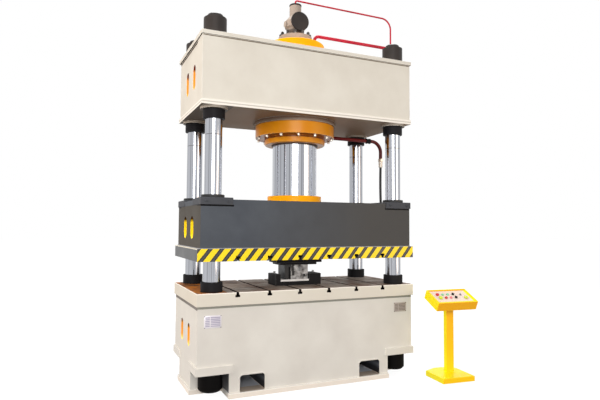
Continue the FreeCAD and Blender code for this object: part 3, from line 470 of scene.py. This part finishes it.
def hazard_enamel():
    # Warning stripes sprayed over the platen's grey front edge. The paler top and end rims
    # of the platen stand for the light that they catch.
    material, tree, shader, place = new_material("platen_hazard_enamel", "#4A4B50", 0.38)
    patches = surface_grain(tree, shader, place, 0.009, 0.0003, (0.32, 0.44))
    axes = add(tree, "ShaderNodeSeparateXYZ", {"Vector": place}).outputs
    lean = add(tree, "ShaderNodeMath", {"operation": "MULTIPLY", 0: axes["Z"], 1: STRIPE_LEAN})
    along = add(tree, "ShaderNodeMath", {"operation": "SUBTRACT", 0: axes["X"],
                                         1: lean.outputs[0]})
    shifted = add(tree, "ShaderNodeMath", {"operation": "ADD", 0: along.outputs[0],
                                           1: STRIPE_SHIFT})
    turns = add(tree, "ShaderNodeMath", {"operation": "DIVIDE", 0: shifted.outputs[0],
                                         1: STRIPE_PITCH})
    part = add(tree, "ShaderNodeMath", {"operation": "FRACT", 0: turns.outputs[0]}).outputs[0]
    yellow = add(tree, "ShaderNodeMath", {"operation": "LESS_THAN", 0: part, 1: STRIPE_YELLOW})
    from_middle = add(tree, "ShaderNodeMath", {"operation": "SUBTRACT", 0: part,
                                               1: (1.0 + STRIPE_YELLOW) / 2})
    offset = add(tree, "ShaderNodeMath", {"operation": "ABSOLUTE", 0: from_middle.outputs[0]})
    border = add(tree, "ShaderNodeMath", {"operation": "GREATER_THAN", 0: offset.outputs[0],
                                          1: (1.0 - STRIPE_YELLOW) / 2 - STRIPE_BORDER})
    front = add(tree, "ShaderNodeMath", {"operation": "LESS_THAN", 0: axes["Y"],
                                         1: platen_low.y + 0.002}).outputs[0]
    bordered = add(tree, "ShaderNodeMath", {"operation": "MULTIPLY", 0: border.outputs[0],
                                            1: front})
    striped = add(tree, "ShaderNodeMath", {"operation": "MULTIPLY", 0: yellow.outputs[0],
                                           1: front})
    grey = add(tree, "ShaderNodeMix", {"data_type": "RGBA", 0: patches, 6: "#2C2D2E",
                                       7: "#3A3B3C"}).outputs[2]
    ground = add(tree, "ShaderNodeMix", {"data_type": "RGBA", 0: bordered.outputs[0], 6: grey,
                                         7: "#070708"}).outputs[2]
    paint = add(tree, "ShaderNodeMix", {"data_type": "RGBA", 0: patches, 6: "#FFD400",
                                        7: "#FFE400"}).outputs[2]
    colour = add(tree, "ShaderNodeMix", {"data_type": "RGBA", 0: striped.outputs[0], 6: ground,
                                         7: paint}).outputs[2]
    low, high = platen_low, platen_high
    rims = [((low.x, low.y, high.z - 0.001), (high.x, high.y, high.z + 0.01), "#A8A6A4")]
    for x0, x1 in ((low.x - 0.01, low.x + 0.012), (high.x - 0.012, high.x + 0.01)):
        rims.append(((x0, low.y + 0.004, high.z - 0.009), (x1, high.y, 2.0), "#E6E0CC"))
    feed(tree, shader, {"Base Color": painted_places(tree, place, colour, rims)})
    return material


platen_hazard = hazard_enamel()


# ---------------- metals and plastics

# The bands' tones, how many there are to a radian, the part of a column that is chrome and
# not painted with its nuts, and the faint line that fitting left round each column
CHROME_BANDS = [(0.3, "#84868C"), (0.42, "#A6A8AE"), (0.55, "#C0C2C8"), (0.68, "#94969C")]
COLUMN_BANDS = 6.5
RAM_BANDS = 9.0
BARE_CHROME = ((-2.0, -2.0, 0.9), (2.0, 2.0, 3.58))
WITNESS_LINE = ((-2.0, -2.0, 2.587), (2.0, 2.0, 2.594))


def hard_chrome(name, centre, bands, marks=()):
    # Hard chrome on a ground bar: mirror bright, with lengthwise bands at random bearings.
    # Wiped oil leaves such bands, but these are darker than it would make them. They stand
    # partly for a workshop's dark reflections, which white surroundings don't give.
    material, tree, shader, place = new_material(name, "#D6D8DC", 0.09, 1.0)
    offset = add(tree, "ShaderNodeVectorMath", {"operation": "SUBTRACT", 0: place, 1: centre})
    axes = add(tree, "ShaderNodeSeparateXYZ", {"Vector": offset.outputs["Vector"]}).outputs
    bearing = add(tree, "ShaderNodeMath", {"operation": "ARCTAN2", 0: axes["X"],
                                           1: axes["Y"]}).outputs[0]
    streaks = add(tree, "ShaderNodeTexNoise", {"noise_dimensions": "1D", "Scale": bands,
                                               "Detail": 2.0, "Roughness": 0.6, "W": bearing})
    tones = add(tree, "ShaderNodeValToRGB", {"stops": CHROME_BANDS,
                                             "Fac": streaks.outputs["Fac"]})
    chrome = painted_places(tree, place, tones.outputs["Color"], marks)
    bare = inside_box(tree, place, *BARE_CHROME)
    colour = add(tree, "ShaderNodeMix", {"data_type": "RGBA", 0: bare, 6: "#2A2522", 7: chrome})
    haze = add(tree, "ShaderNodeTexNoise", {"noise_dimensions": "1D", "Scale": 3.0 * bands,
                                            "Detail": 2.0, "W": bearing})
    spread = add(tree, "ShaderNodeMapRange", {"To Min": 0.05, "To Max": 0.12,
                                              "Value": haze.outputs["Fac"]})
    feed(tree, shader, {"Base Color": colour.outputs[2], "Metallic": bare,
                        "Roughness": spread.outputs["Result"]})
    return material


def part_finish(name, light, dark, roughness, metallic=1.0, size=0.01, shine=0.5, patch=0.32,
                places=()):
    # The surface of a smaller part: two close tones in patches over a fine grain, which is
    # drawn at 10 mm where no other size is given, since finer would not show.
    material, tree, shader, place = new_material(name, light, roughness[0], metallic,
                                                 Specular_IOR_Level=shine)
    patches = surface_grain(tree, shader, place, size, 0.0002, roughness, patch)
    colour = two_tones(tree, patches, 0.35, 0.65, dark, light)
    feed(tree, shader, {"Base Color": painted_places(tree, place, colour, places)})
    return material


# Black oxide on turned collars: near black and dull. It is worn on bolts, so that steel shows.
black_oxide = part_finish("black_oxide_steel", "#1F1E20", "#131214", (0.5, 0.64), 0.0, shine=0.1)
bolt_black = part_finish("bolt_black_oxide", "#5A5450", "#3A3532", (0.28, 0.4), 0.7)
# Thin black enamel on the nuts: brown shows through on the upper ones, the lower are matt
nut_brown = part_finish("nut_brown_black_enamel", "#332D2A", "#26211F", (0.42, 0.56), 0.0,
                        shine=0.25)
nut_black = part_finish("nut_black_enamel", "#0C0A09", "#060505", (0.55, 0.7), 0.0, shine=0.05)
# Die steels: oiled and black, worn grey on the edges, and bright where they were ground
die_black = part_finish("die_oiled_black_steel", "#1B1A1B", "#0E0D0E", (0.45, 0.6), 0.0,
                        shine=0.12)
die_worn = part_finish("die_worn_edge_steel", "#3A3836", "#242221", (0.3, 0.42), 0.5)
die_bright = part_finish("die_insert_bright_steel", "#F0EEEC", "#C4C2C0", (0.3, 0.45), 0.1)
die_grey = part_finish("die_ground_steel", "#B4B3B2", "#45413F", (0.3, 0.5), 0.25, 0.018,
                       patch=0.11)
# Ground steel with dark oil in patches. Its two upright dark bands stand for shade.
BLOCK_SHADE_BANDS = [((-0.20, -0.19, 1.08), (-0.112, 0.03, 1.30), "#141312"),
               ((-0.10, -0.19, 1.13), (-0.068, 0.03, 1.30), "#1A1817")]
die_block_steel = part_finish("die_block_ground_steel", "#C4C3C2", "#3C3836", (0.3, 0.5), 0.2,
                              0.014, patch=0.06, places=BLOCK_SHADE_BANDS)
# Zinc plate: greyer on fittings, and near white on the screws and the hose fitting. That near
# white is partly bright zinc and partly a painted glint.
screw_zinc_glint = part_finish("bright_zinc_screws_painted_glint", "#F6EEE2", "#D8CDBE", (0.2, 0.3), 0.35)
zinc = part_finish("zinc_plated_steel", "#B7B8BA", "#8F9092", (0.25, 0.38), 0.9)
# Turned bronze, and moulded rubber, which is black and almost without shine
bronze = part_finish("guide_bronze", "#B98A4A", "#9C7338", (0.3, 0.45), 1.0)
rubber = part_finish("wiper_rubber", "#1C1C1D", "#121213", (0.55, 0.7), 0.0)
hose_rubber = part_finish("hose_rubber", "#101011", "#080808", (0.45, 0.6), 0.0, 0.002)
# The rating plates: anodised and etched aluminium, each with its printed fields
plate_silver = part_finish("plate_anodised_silver", "#E6E3E6", "#D6D2DA", (0.3, 0.42), 0.1)
plate_violet = part_finish("plate_violet_print", "#B5B0C2", "#9C96AE", (0.4, 0.5), 0.0)
plate_taupe = part_finish("plate_etched_taupe", "#B5AAA2", "#A59A92", (0.34, 0.46), 0.1)
plate_brown = part_finish("plate_brown_print", "#7F736C", "#6F645E", (0.4, 0.5), 0.1)

# The table: patches per metre in oil and paint, milling marks per metre (drawn at 9 mm, as
# finer would not show), the steel, its sunk faces, its rusty end, and the painted highlight on
# the enamel's brim
OIL_PATCHES = 2.2
PAINT_PATCHES = 3.0
TABLE_GRAIN = 110.0
TABLE_STEEL = ((-1.2435, -0.5585, 0.905), (1.2435, 0.5585, 1.1))
TABLE_SUNK = ((-1.2435, -0.5585, 0.905), (1.2435, 0.5585, 1.0235))
RUSTY_END = ((-1.3, -0.6, 0.9), (-0.94, 0.6, 1.1))
TABLE_BRIM_HIGHLIGHT = [(*layer(WHOLE_PLAN, 1.018, 1.1), "#FFFAF0")]
OILED_TONES = [(0.3, "#4A382C"), (0.42, "#8A7262"), (0.55, "#B3A498"), (0.72, "#CFC6BE")]
RUST_TONES = [(0.36, "#3A2418"), (0.44, "#8A5A35"), (0.49, "#D07C28"), (0.54, "#6A4430"),
              (0.6, "#B86A28"), (0.68, "#A08A78")]


def table_steel():
    # Milled steel under old oil: brown-grey in patches, rust-red at the left end, with cream
    # enamel on the plate's outer sides. The near-black in the slots is oil and shade, and
    # the enamel's bright brim stands for the light that it catches.
    material, tree, shader, place = new_material("table_milled_steel", "#6E635B", 0.6,
                                                 Specular_IOR_Level=0.12)
    oil = add(tree, "ShaderNodeTexNoise", {"Scale": OIL_PATCHES, "Detail": 6.0,
                                           "Roughness": 0.6, "Vector": place}).outputs["Fac"]
    oiled = add(tree, "ShaderNodeValToRGB", {"stops": OILED_TONES, "Fac": oil})
    rust = add(tree, "ShaderNodeValToRGB", {"stops": RUST_TONES, "Fac": oil})
    steel = add(tree, "ShaderNodeMix", {
        "data_type": "RGBA", 0: inside_box(tree, place, *RUSTY_END), 6: oiled.outputs["Color"],
        7: rust.outputs["Color"]}).outputs[2]
    steel = painted_places(tree, place, steel, [(*TABLE_SUNK, "#15110E")])
    tone = add(tree, "ShaderNodeTexNoise", {"Scale": PAINT_PATCHES, "Vector": place})
    cream = add(tree, "ShaderNodeMix", {"data_type": "RGBA", 0: tone.outputs["Fac"],
                                        6: "#D6CFC2", 7: "#E0DBCF"}).outputs[2]
    cream = painted_places(tree, place, cream, TABLE_BRIM_HIGHLIGHT)
    inner = inside_box(tree, place, *TABLE_STEEL)
    colour = add(tree, "ShaderNodeMix", {"data_type": "RGBA", 0: inner, 6: cream, 7: steel})
    metal = add(tree, "ShaderNodeMath", {"operation": "MULTIPLY", 0: inner, 1: 0.04})
    spread = add(tree, "ShaderNodeMapRange", {"To Min": 0.5, "To Max": 0.72, "Value": oil})
    grain = add(tree, "ShaderNodeTexNoise", {"Scale": TABLE_GRAIN, "Detail": 2.0,
                                             "Vector": place})
    bump = add(tree, "ShaderNodeBump", {"Distance": 0.0003, "Strength": 0.6,
                                        "Height": grain.outputs["Fac"]})
    feed(tree, shader, {"Base Color": colour.outputs[2], "Metallic": metal.outputs[0],
                        "Roughness": spread.outputs["Result"],
                        "Normal": bump.outputs["Normal"]})
    return material


table_top = table_steel()

PLASTIC_ROUGHNESS = 0.22
PLASTIC_HAZE = 180.0


def plastic(name, code):
    # Moulded plastic: one even colour, glossy, with a trace of haze. Its spots are drawn at
    # 6 mm, since finer would not show.
    material, tree, shader, place = new_material(name, code, PLASTIC_ROUGHNESS)
    haze = add(tree, "ShaderNodeTexNoise", {"Scale": PLASTIC_HAZE, "Vector": place})
    spread = add(tree, "ShaderNodeMapRange", {
        "To Min": PLASTIC_ROUGHNESS, "To Max": PLASTIC_ROUGHNESS + 0.12,
        "Value": haze.outputs["Fac"]})
    feed(tree, shader, {"Roughness": spread.outputs["Result"]})
    return material


button_red = plastic("button_red_plastic", "#C0201C")
button_green = plastic("button_green_plastic", "#7FC79A")
button_black = plastic("selector_black_plastic", "#141414")
button_pink = plastic("button_pink_plastic", "#D9707A")
button_lime = plastic("hand_button_lime_plastic", "#C6D933")


# ---------------- making pieces

def only(piece):
    bpy.ops.object.select_all(action="DESELECT")
    piece.select_set(True)
    bpy.context.view_layer.objects.active = piece


def settle(piece):
    """The piece's place goes into its mesh, so its object sits at the origin."""
    only(piece)
    bpy.ops.object.transform_apply(location=True, rotation=True, scale=True)


def modify(piece, kind, **settings):
    modifier = piece.modifiers.new(kind.lower(), kind)
    for name, value in settings.items():
        setattr(modifier, name, value)
    only(piece)
    bpy.ops.object.modifier_apply(modifier=modifier.name)


def finished(piece, name, material, body):
    """The piece's name, material, smooth shading and the body that it moves with."""
    piece.name = name
    piece.data.name = name
    if piece.data.materials:
        piece.data.materials[0] = material
    else:
        piece.data.materials.append(material)
    only(piece)
    bpy.ops.object.shade_smooth_by_angle(angle=SMOOTH_EDGE)
    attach(piece, body)
    return piece


def softened(node, material, width=0.0, edge=None):
    """A CAD node's own mesh, welded, with its sharp edges rounded as grinding leaves them.

    edge is the material of the rounded edges: worn metal, or a paler paint that is a painted
    highlight."""
    source = frame["nodes"][node]
    body = body_of(source)[0]
    piece = source.copy()
    piece.data = source.data.copy()
    for key in list(piece.keys()):
        del piece[key]
    piece.parent = None
    piece.matrix_world = Matrix.Identity(4)
    bpy.context.scene.collection.objects.link(piece)
    only(piece)
    bpy.ops.object.mode_set(mode="EDIT")
    bpy.ops.mesh.select_all(action="SELECT")
    bpy.ops.mesh.remove_doubles(threshold=0.00002)
    bpy.ops.mesh.dissolve_limited(angle_limit=math.radians(1.0))
    bpy.ops.mesh.vert_connect_concave()
    bpy.ops.mesh.customdata_custom_splitnormals_clear()
    bpy.ops.object.mode_set(mode="OBJECT")
    piece.data.materials.clear()
    piece.data.materials.append(material)
    if edge:
        piece.data.materials.append(edge)
    if width:
        modify(piece, "BEVEL", width=width, segments=2, limit_method="ANGLE",
               angle_limit=SHARP_EDGE, loop_slide=False, material=1 if edge else -1)
    finished(piece, node + "_finish", material, body)
    if width:
        # Flat faces keep flat shading, and only the rounded edges turn.
        modify(piece, "WEIGHTED_NORMAL", mode="FACE_AREA", weight=100, keep_sharp=True)
    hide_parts(node)


def block(low, high):
    """A box between two corners, ready for edit mode."""
    low, high = Vector(low), Vector(high)
    bpy.ops.mesh.primitive_cube_add(size=1.0, location=(low + high) / 2)
    piece = bpy.context.active_object
    piece.scale = high - low
    settle(piece)
    return piece


def bar(radius, foot, length, sides):
    """An upright bar, round or many-sided, over the origin, with its foot at a height."""
    bpy.ops.mesh.primitive_cylinder_add(vertices=sides, radius=radius, depth=length,
                                        location=(0.0, 0.0, foot + length / 2))
    piece = bpy.context.active_object
    settle(piece)
    return piece


def chamfer(piece, width, segments):
    modify(piece, "BEVEL", width=width, segments=segments, limit_method="ANGLE",
           angle_limit=SHARP_EDGE)


def join(pieces):
    only(pieces[0])
    for piece in pieces[1:]:
        piece.select_set(True)
    if len(pieces) > 1:
        bpy.ops.object.join()
    return bpy.context.active_object


def copies(pattern, places):
    """Copies of one upright piece, each turned from +Z to its direction and moved to its point."""
    made = []
    for point, direction, spin in places:
        piece = pattern.copy()
        piece.data = pattern.data.copy()
        bpy.context.scene.collection.objects.link(piece)
        turn = Vector((0, 0, 1)).rotation_difference(Vector(direction).normalized())
        piece.data.transform(Matrix.Translation(point) @ turn.to_matrix().to_4x4()
                             @ Matrix.Rotation(spin, 4, "Z"))
        made.append(piece)
    bpy.data.objects.remove(pattern)
    return join(made)


def socket_screw(radius, height):
    """A socket-head screw's round head with its hexagon well, standing on z = 0."""
    head = bar(radius, 0.0, height, 28)
    chamfer(head, radius * 0.1, 2)
    well = bar(radius * 0.52, height * 0.45, height, 6)
    modify(head, "BOOLEAN", operation="DIFFERENCE", object=well, solver="EXACT")
    bpy.data.objects.remove(well)
    return head


def hex_nut(radius, height, stud):
    """A hexagon nut with turned corners on a stud that stands a little proud."""
    nut = bar(radius, 0.0, height, 6)
    chamfer(nut, radius * 0.1, 2)
    pin = bar(radius * 0.55, height * 0.5, height * 0.5 + stud, 16)
    chamfer(pin, radius * 0.08, 1)
    return join([nut, pin])


def ring_places(count, radius, height, start, direction):
    places = []
    for index in range(count):
        angle = start + 2 * math.pi * index / count
        point = Vector((radius * math.cos(angle), radius * math.sin(angle), height))
        places.append((point, direction, angle))
    return places


def bent_line(name, kind, radius, corners, roundness):
    """A round rod of a given radius along a line of points, as a curve."""
    curve = bpy.data.curves.new(name, "CURVE")
    curve.dimensions = "3D"
    curve.bevel_depth = radius
    curve.bevel_resolution = roundness
    line = curve.splines.new(kind)
    line.points.add(len(corners) - 1)
    for point, corner in zip(line.points, corners):
        point.co = (*corner, 1.0)
    piece = bpy.data.objects.new(name, curve)
    bpy.context.scene.collection.objects.link(piece)
    return piece, line


# ---------------- the CAD pieces' finish

def column_chrome(node):
    """Chrome for one column, with bands round its own axis and its witness line."""
    low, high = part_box(node)
    middle = (low + high) / 2
    return hard_chrome("hard_chrome_" + node, (middle.x, middle.y, 0.0), COLUMN_BANDS,
                       [(*WITNESS_LINE, "#7C7A7C")])


COLUMNS = ("column_front_left", "column_front_right", "column_rear_left", "column_rear_right")

# Each piece with its finish. Some have sharp edges that are rounded to a width, and those of
# some have another finish: worn metal on the dies, and a painted highlight on the cream and
# orange enamel.
piece_finishes = [
    ("crown_weldment", cream_crown, 0.006, cream_edge_highlight),
    ("bed_weldment", cream_bed, 0.006, cream_edge_highlight),
    ("bed_table", table_top, 0.0025),
    ("slide_box", slide_grey, 0.005),
    ("slide_platen", platen_hazard, 0.003),
    ("guide_flanges", flange_grey, 0.003),
    *[(node, column_chrome(node)) for node in COLUMNS],
    ("main_ram", hard_chrome("hard_chrome_ram", (0.0, 0.0, 0.0), RAM_BANDS)),
    ("top_nuts", nut_brown, 0.006),
    ("bottom_nuts", nut_black, 0.004),
    ("crown_collars", black_oxide, 0.004),
    ("bed_collars", black_oxide, 0.004),
    ("guide_bushes", bronze),
    ("guide_wipers", rubber, 0.006),
    ("cylinder_barrel", head_yellow, 0.003),
    ("cylinder_ring_nut", cylinder_orange, 0.005, orange_edge_highlight),
    ("cylinder_gland", cylinder_orange, 0.003, orange_edge_highlight),
    ("rod_seal", rubber),
    ("ram_flange", head_yellow, 0.004),
    ("prefill_valve_body", valve_beige, 0.006),
    ("prefill_cap", black_oxide, 0.004),
    ("prefill_port_cover", nut_brown, 0.003),
    ("prefill_side_cover", valve_beige, 0.003),
    ("pilot_pipe", pipe_red),
    ("pressure_pipe", pipe_red),
    ("return_pipe", return_red_shade),
    ("pipe_clamp", black_oxide, 0.003),
    ("pipe_unions", zinc, 0.001),
    ("return_union", black_oxide, 0.001),
    ("hose_fitting", screw_zinc_glint, 0.001),
    ("hose_outlet", zinc, 0.001),
    ("lower_die", die_black, 0.003, die_worn),
    ("die_insert", die_bright, 0.001),
    ("die_guide_pins", die_grey, 0.002),
    ("upper_die_plates", die_black, 0.003, die_worn),
    ("upper_die_block", die_block_steel, 0.002),
    ("pedestal_stand", pedestal_yellow, 0.003),
    ("control_box", pedestal_yellow, 0.002),
    ("control_panel", panel_cream, 0.0005),
    ("emergency_stop_button", button_red, 0.0008),
    ("pump_start_button", button_green, 0.0008),
    ("slide_up_button", button_green, 0.0008),
    ("mode_selector", button_black, 0.0008),
    ("key_switch", zinc, 0.0008),
    ("left_hand_button", button_lime, 0.0008),
    ("pump_stop_button", button_red, 0.0008),
    ("slide_down_button", button_pink, 0.0008),
    ("speed_selector", button_black, 0.0008),
    ("right_hand_button", button_lime, 0.0008),
]
for finish_row in piece_finishes:
    softened(*finish_row)


# ---------------- screws and bolts

# Screws hang or stand on circles round the ram: how many, circle radius, and where the
# first one is, in degrees from +X.
RING_SCREWS = (14, 0.428, -107.7)
FLANGE_SCREWS = (8, 0.283, 22.5)
VALVE_NUTS = (12, 0.172, 6.6)


def screw_ring(pattern, layout, height, direction, name, material, body, node):
    count, radius, start = layout
    ring = copies(pattern, ring_places(count, radius, height, math.radians(start), direction))
    finished(ring, name, material, body)
    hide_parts(node)


screw_low, screw_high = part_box("gland_screws")
screw_ring(socket_screw(0.0145, screw_high.z - screw_low.z), RING_SCREWS, screw_high.z,
           (0, 0, -1), "gland_screws_socket", screw_zinc_glint, FRAME_BODY, "gland_screws")
screw_low, screw_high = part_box("ram_flange_screws")
screw_ring(socket_screw(0.015, screw_high.z - screw_low.z), FLANGE_SCREWS, screw_low.z,
           (0, 0, 1), "ram_flange_screws_socket", bolt_black, SLIDE_BODY, "ram_flange_screws")
stud_low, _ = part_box("prefill_bolts")
screw_ring(hex_nut(0.0185, 0.042, 0.008), VALVE_NUTS, stud_low.z,
           (0, 0, 1), "prefill_flange_nuts", bolt_black, FRAME_BODY, "prefill_bolts")

# Where the guide flanges' screws are along X: in pairs about each column
FLANGE_PAIR_X = 1.0605
FLANGE_PAIR_HALF = 0.11


def guide_flange_screws():
    low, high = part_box("guide_flange_screws")
    _, flange_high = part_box("guide_flanges")
    radius = (high.z - low.z) / 2
    height = (high.z + low.z) / 2
    places = []
    for face in (-1, 1):
        for side in (-1, 1):
            for offset in (-FLANGE_PAIR_HALF, FLANGE_PAIR_HALF):
                point = Vector((side * FLANGE_PAIR_X + offset, face * flange_high.y, height))
                places.append((point, (0, face, 0), 0.0))
    screws = copies(socket_screw(radius, high.y - flange_high.y), places)
    finished(screws, "guide_flange_screws_socket", flange_grey, SLIDE_BODY)
    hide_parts("guide_flange_screws")


guide_flange_screws()


# ---------------- rating plates

# The plates' left, right, lower and upper edges, and how far in their fields and rivets are
LEFT_PLATE = (-1.170, -0.998, 0.690, 0.812)
RIGHT_PLATE = (1.000, 1.164, 0.718, 0.822)
FIELD_MARGIN = 0.012
RIVET_INSET = 0.006
# The shares of a row that its short and its long field take
ROW_FIELDS = ((0.0, 0.3), (0.36, 1.0))
plate_low, plate_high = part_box("nameplates")


def rating_plate(name, edges, rows, base, field):
    """A thin riveted plate with rounded edges and rows of plain raised fields."""
    x0, x1, z0, z1 = edges
    plate = block((x0, plate_low.y, z0), (x1, plate_high.y, z1))
    chamfer(plate, 0.001, 2)
    finished(plate, name, base, FRAME_BODY)
    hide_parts("nameplates")
    width = x1 - x0 - 2 * FIELD_MARGIN
    gap = (z1 - z0 - 2 * FIELD_MARGIN) / rows
    bars = []
    for row in range(rows):
        low = z0 + FIELD_MARGIN + row * gap + gap * 0.2
        for start, end in ROW_FIELDS:
            left = x0 + FIELD_MARGIN + start * width
            right = x0 + FIELD_MARGIN + end * width
            bars.append(block((left, plate_low.y - 0.0006, low),
                              (right, plate_low.y + 0.0004, low + gap * 0.6)))
    fields = join(bars)
    chamfer(fields, 0.0003, 1)
    finished(fields, name + "_fields", field, FRAME_BODY)
    places = []
    for x in (x0 + RIVET_INSET, x1 - RIVET_INSET):
        for z in (z0 + RIVET_INSET, z1 - RIVET_INSET):
            places.append((Vector((x, plate_low.y, z)), (0, -1, 0), 0.0))
    rivet = bar(0.0045, 0.0, 0.0022, 16)
    chamfer(rivet, 0.0015, 3)
    finished(copies(rivet, places), name + "_rivets", bolt_black, FRAME_BODY)


rating_plate("rating_plate_left", LEFT_PLATE, 6, plate_silver, plate_violet)
rating_plate("rating_plate_right", RIGHT_PLATE, 5, plate_taupe, plate_brown)


# ---------------- weld seams

WELD_RADIUS = 0.005
WELD_RISE = 0.0005


def weld_line(walls, height, name, material, body):
    """A fillet of weld metal run round the walls at a height."""
    half_x, half_y = walls[0] + SKIN, walls[1] + SKIN
    corners = [(-half_x, -half_y, height), (half_x, -half_y, height),
               (half_x, half_y, height), (-half_x, half_y, height)]
    piece, line = bent_line(name, "POLY", WELD_RADIUS, corners, 2)
    line.use_cyclic_u = True
    only(piece)
    bpy.ops.object.convert(target="MESH")
    finished(bpy.context.active_object, name, material, body)


weld_line(CROWN_WALLS, crown_high.z - ROOF_THICKNESS - WELD_RISE, "crown_roof_weld", cream_crown,
          FRAME_BODY)
weld_line(CROWN_WALLS, crown_low.z + CYLINDER_PAD + FLOOR_THICKNESS + WELD_RISE,
          "crown_floor_weld", cream_crown, FRAME_BODY)
weld_line(BED_WALLS, bed_high.z - WELD_RISE, "bed_table_weld", cream_bed, FRAME_BODY)
weld_line(SLIDE_WALLS, slide_low.z + WELD_RISE, "slide_platen_weld", slide_weld_highlight, SLIDE_BODY)


# ---------------- hose

# The hose hangs in one plane, from the fitting down to the outlet on the bed
hose_y = 0.2
HOSE_ROUTE = [(1.309, 2.450), (1.297, 1.980), (1.372, 1.550), (1.470, 1.310), (1.503, 1.065),
              (1.490, 0.840), (1.432, 0.640), (1.365, 0.470), (1.330, 0.345), (1.330, 0.240)]


def make_hose():
    piece, line = bent_line("return_hose_rubber", "NURBS", 0.016,
                            [(x, hose_y, z) for x, z in HOSE_ROUTE], 6)
    line.order_u = 3
    line.use_endpoint_u = True
    piece.data.resolution_u = 16
    piece.data.use_fill_caps = True
    piece.data.materials.append(hose_rubber)
    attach(piece, FRAME_BODY)
    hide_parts("return_hose")


make_hose()


# ---------------- floor, light and camera

WHITE_GLOW = 1.16
GLOW_SHARE = 0.8
ROOM_LIGHT = 0.5


def seen_rays(tree):
    """1 for what the camera looks at, straight or in metal and glass, and 0 for the rest."""
    rays = add(tree, "ShaderNodeLightPath", {}).outputs
    mirrors = add(tree, "ShaderNodeMath", {"operation": "MAXIMUM", 0: rays["Is Glossy Ray"],
                                           1: rays["Is Transmission Ray"]})
    return add(tree, "ShaderNodeMath", {"operation": "MAXIMUM", 0: rays["Is Camera Ray"],
                                        1: mirrors.outputs[0]}).outputs[0]


def white_backdrop():
    # A pale floor: white to the camera and in mirrors, with a trace of shadow. Light that
    # bounces off it comes back dimmer, as from a grey workshop floor.
    material = bpy.data.materials.new("pale_floor")
    material.use_nodes = True
    tree = material.node_tree
    tree.nodes.clear()
    seen = seen_rays(tree)
    tone = add(tree, "ShaderNodeMix", {"data_type": "RGBA", 0: seen, 6: "#5A5550", 7: "#E7E7E7"})
    plain = add(tree, "ShaderNodeBsdfDiffuse", {"Color": tone.outputs[2]})
    glow = add(tree, "ShaderNodeEmission", {"Color": "#FFFFFF", "Strength": WHITE_GLOW})
    share = add(tree, "ShaderNodeMath", {"operation": "MULTIPLY", 0: seen, 1: GLOW_SHARE})
    mixed = add(tree, "ShaderNodeMixShader", {0: share.outputs[0], 1: plain.outputs[0],
                                              2: glow.outputs[0]})
    add(tree, "ShaderNodeOutputMaterial", {"Surface": mixed.outputs[0]})
    return material


bpy.ops.mesh.primitive_plane_add(size=120.0, location=(0, 0, 0))
floor = bpy.context.active_object
floor.name = "floor"
floor.data.materials.append(white_backdrop())


def light_world():
    # Soft room light, and the white background for the camera and for mirrors.
    world = bpy.data.worlds.new("soft_room")
    bpy.context.scene.world = world
    world.use_nodes = True
    tree = world.node_tree
    tree.nodes.clear()
    room = add(tree, "ShaderNodeBackground", {"Color": "#FFFFFF", "Strength": ROOM_LIGHT})
    white = add(tree, "ShaderNodeBackground", {"Color": "#FFFFFF", "Strength": 1.0})
    mixed = add(tree, "ShaderNodeMixShader", {0: seen_rays(tree), 1: room.outputs[0],
                                              2: white.outputs[0]})
    add(tree, "ShaderNodeOutputWorld", {"Surface": mixed.outputs[0]})


light_world()


def lamp(name, place, aim, size, power, colour="#FFFFFF", in_mirrors=True):
    """A soft lamp of a given width and height, turned to the point it lights."""
    light = bpy.data.lights.new(name, "AREA")
    light.shape = "RECTANGLE"
    light.size, light.size_y = size
    light.energy = power
    light.color = linear(colour)[:3]
    piece = bpy.data.objects.new(name, light)
    bpy.context.scene.collection.objects.link(piece)
    piece.location = place
    piece.rotation_euler = (Vector(aim) - Vector(place)).to_track_quat("-Z", "Y").to_euler()
    piece.visible_glossy = in_mirrors


# The window and back lights don't show in mirrors, since the chrome would clip to white
# bands. The other lamps do.
PRESS_MIDDLE = (0, 0, 1.8)
lamp("key_light", (-3.5, -9.5, 3.4), PRESS_MIDDLE, (5.0, 4.0), 560.0)
lamp("window_light", (-9.5, -2.0, 4.0), PRESS_MIDDLE, (4.0, 4.0), 580.0, "#FFF2E6",
     in_mirrors=False)
lamp("fill_light", (6.5, -7.5, 2.4), PRESS_MIDDLE, (4.0, 4.0), 190.0, "#FFE6CC")
lamp("back_light", (7.0, 8.0, 3.4), PRESS_MIDDLE, (4.5, 4.0), 420.0, in_mirrors=False)
lamp("top_light", (0.0, 0.8, 9.0), (0, 0.6, 0), (6.0, 4.0), 430.0)

# The camera was solved from the photograph's straight edges and circles. Angles in radians.
CAMERA_PLACE = Vector((-2.3669, -5.4779, 1.6784))
CAMERA_YAW = 0.41914
CAMERA_PITCH = 0.05094
CAMERA_ROLL = 0.00597
LENS_SHARE = 514.998 / 600.0


def make_camera():
    ahead = Vector((math.sin(CAMERA_YAW) * math.cos(CAMERA_PITCH),
                    math.cos(CAMERA_YAW) * math.cos(CAMERA_PITCH), math.sin(CAMERA_PITCH)))
    level = Vector((math.cos(CAMERA_YAW), -math.sin(CAMERA_YAW), 0.0))
    upright = level.cross(ahead)
    right = level * math.cos(CAMERA_ROLL) + upright * math.sin(CAMERA_ROLL)
    up = upright * math.cos(CAMERA_ROLL) - level * math.sin(CAMERA_ROLL)
    data = bpy.data.cameras.new("photo_camera")
    data.sensor_fit = "HORIZONTAL"
    data.sensor_width = 36.0
    data.lens = data.sensor_width * LENS_SHARE
    camera = bpy.data.objects.new("photo_camera", data)
    bpy.context.scene.collection.objects.link(camera)
    rows = Matrix((right, up, -ahead)).transposed()
    camera.matrix_world = Matrix.Translation(CAMERA_PLACE) @ rows.to_4x4()
    bpy.context.scene.camera = camera


make_camera()
bpy.context.scene.view_settings.view_transform = "Standard"
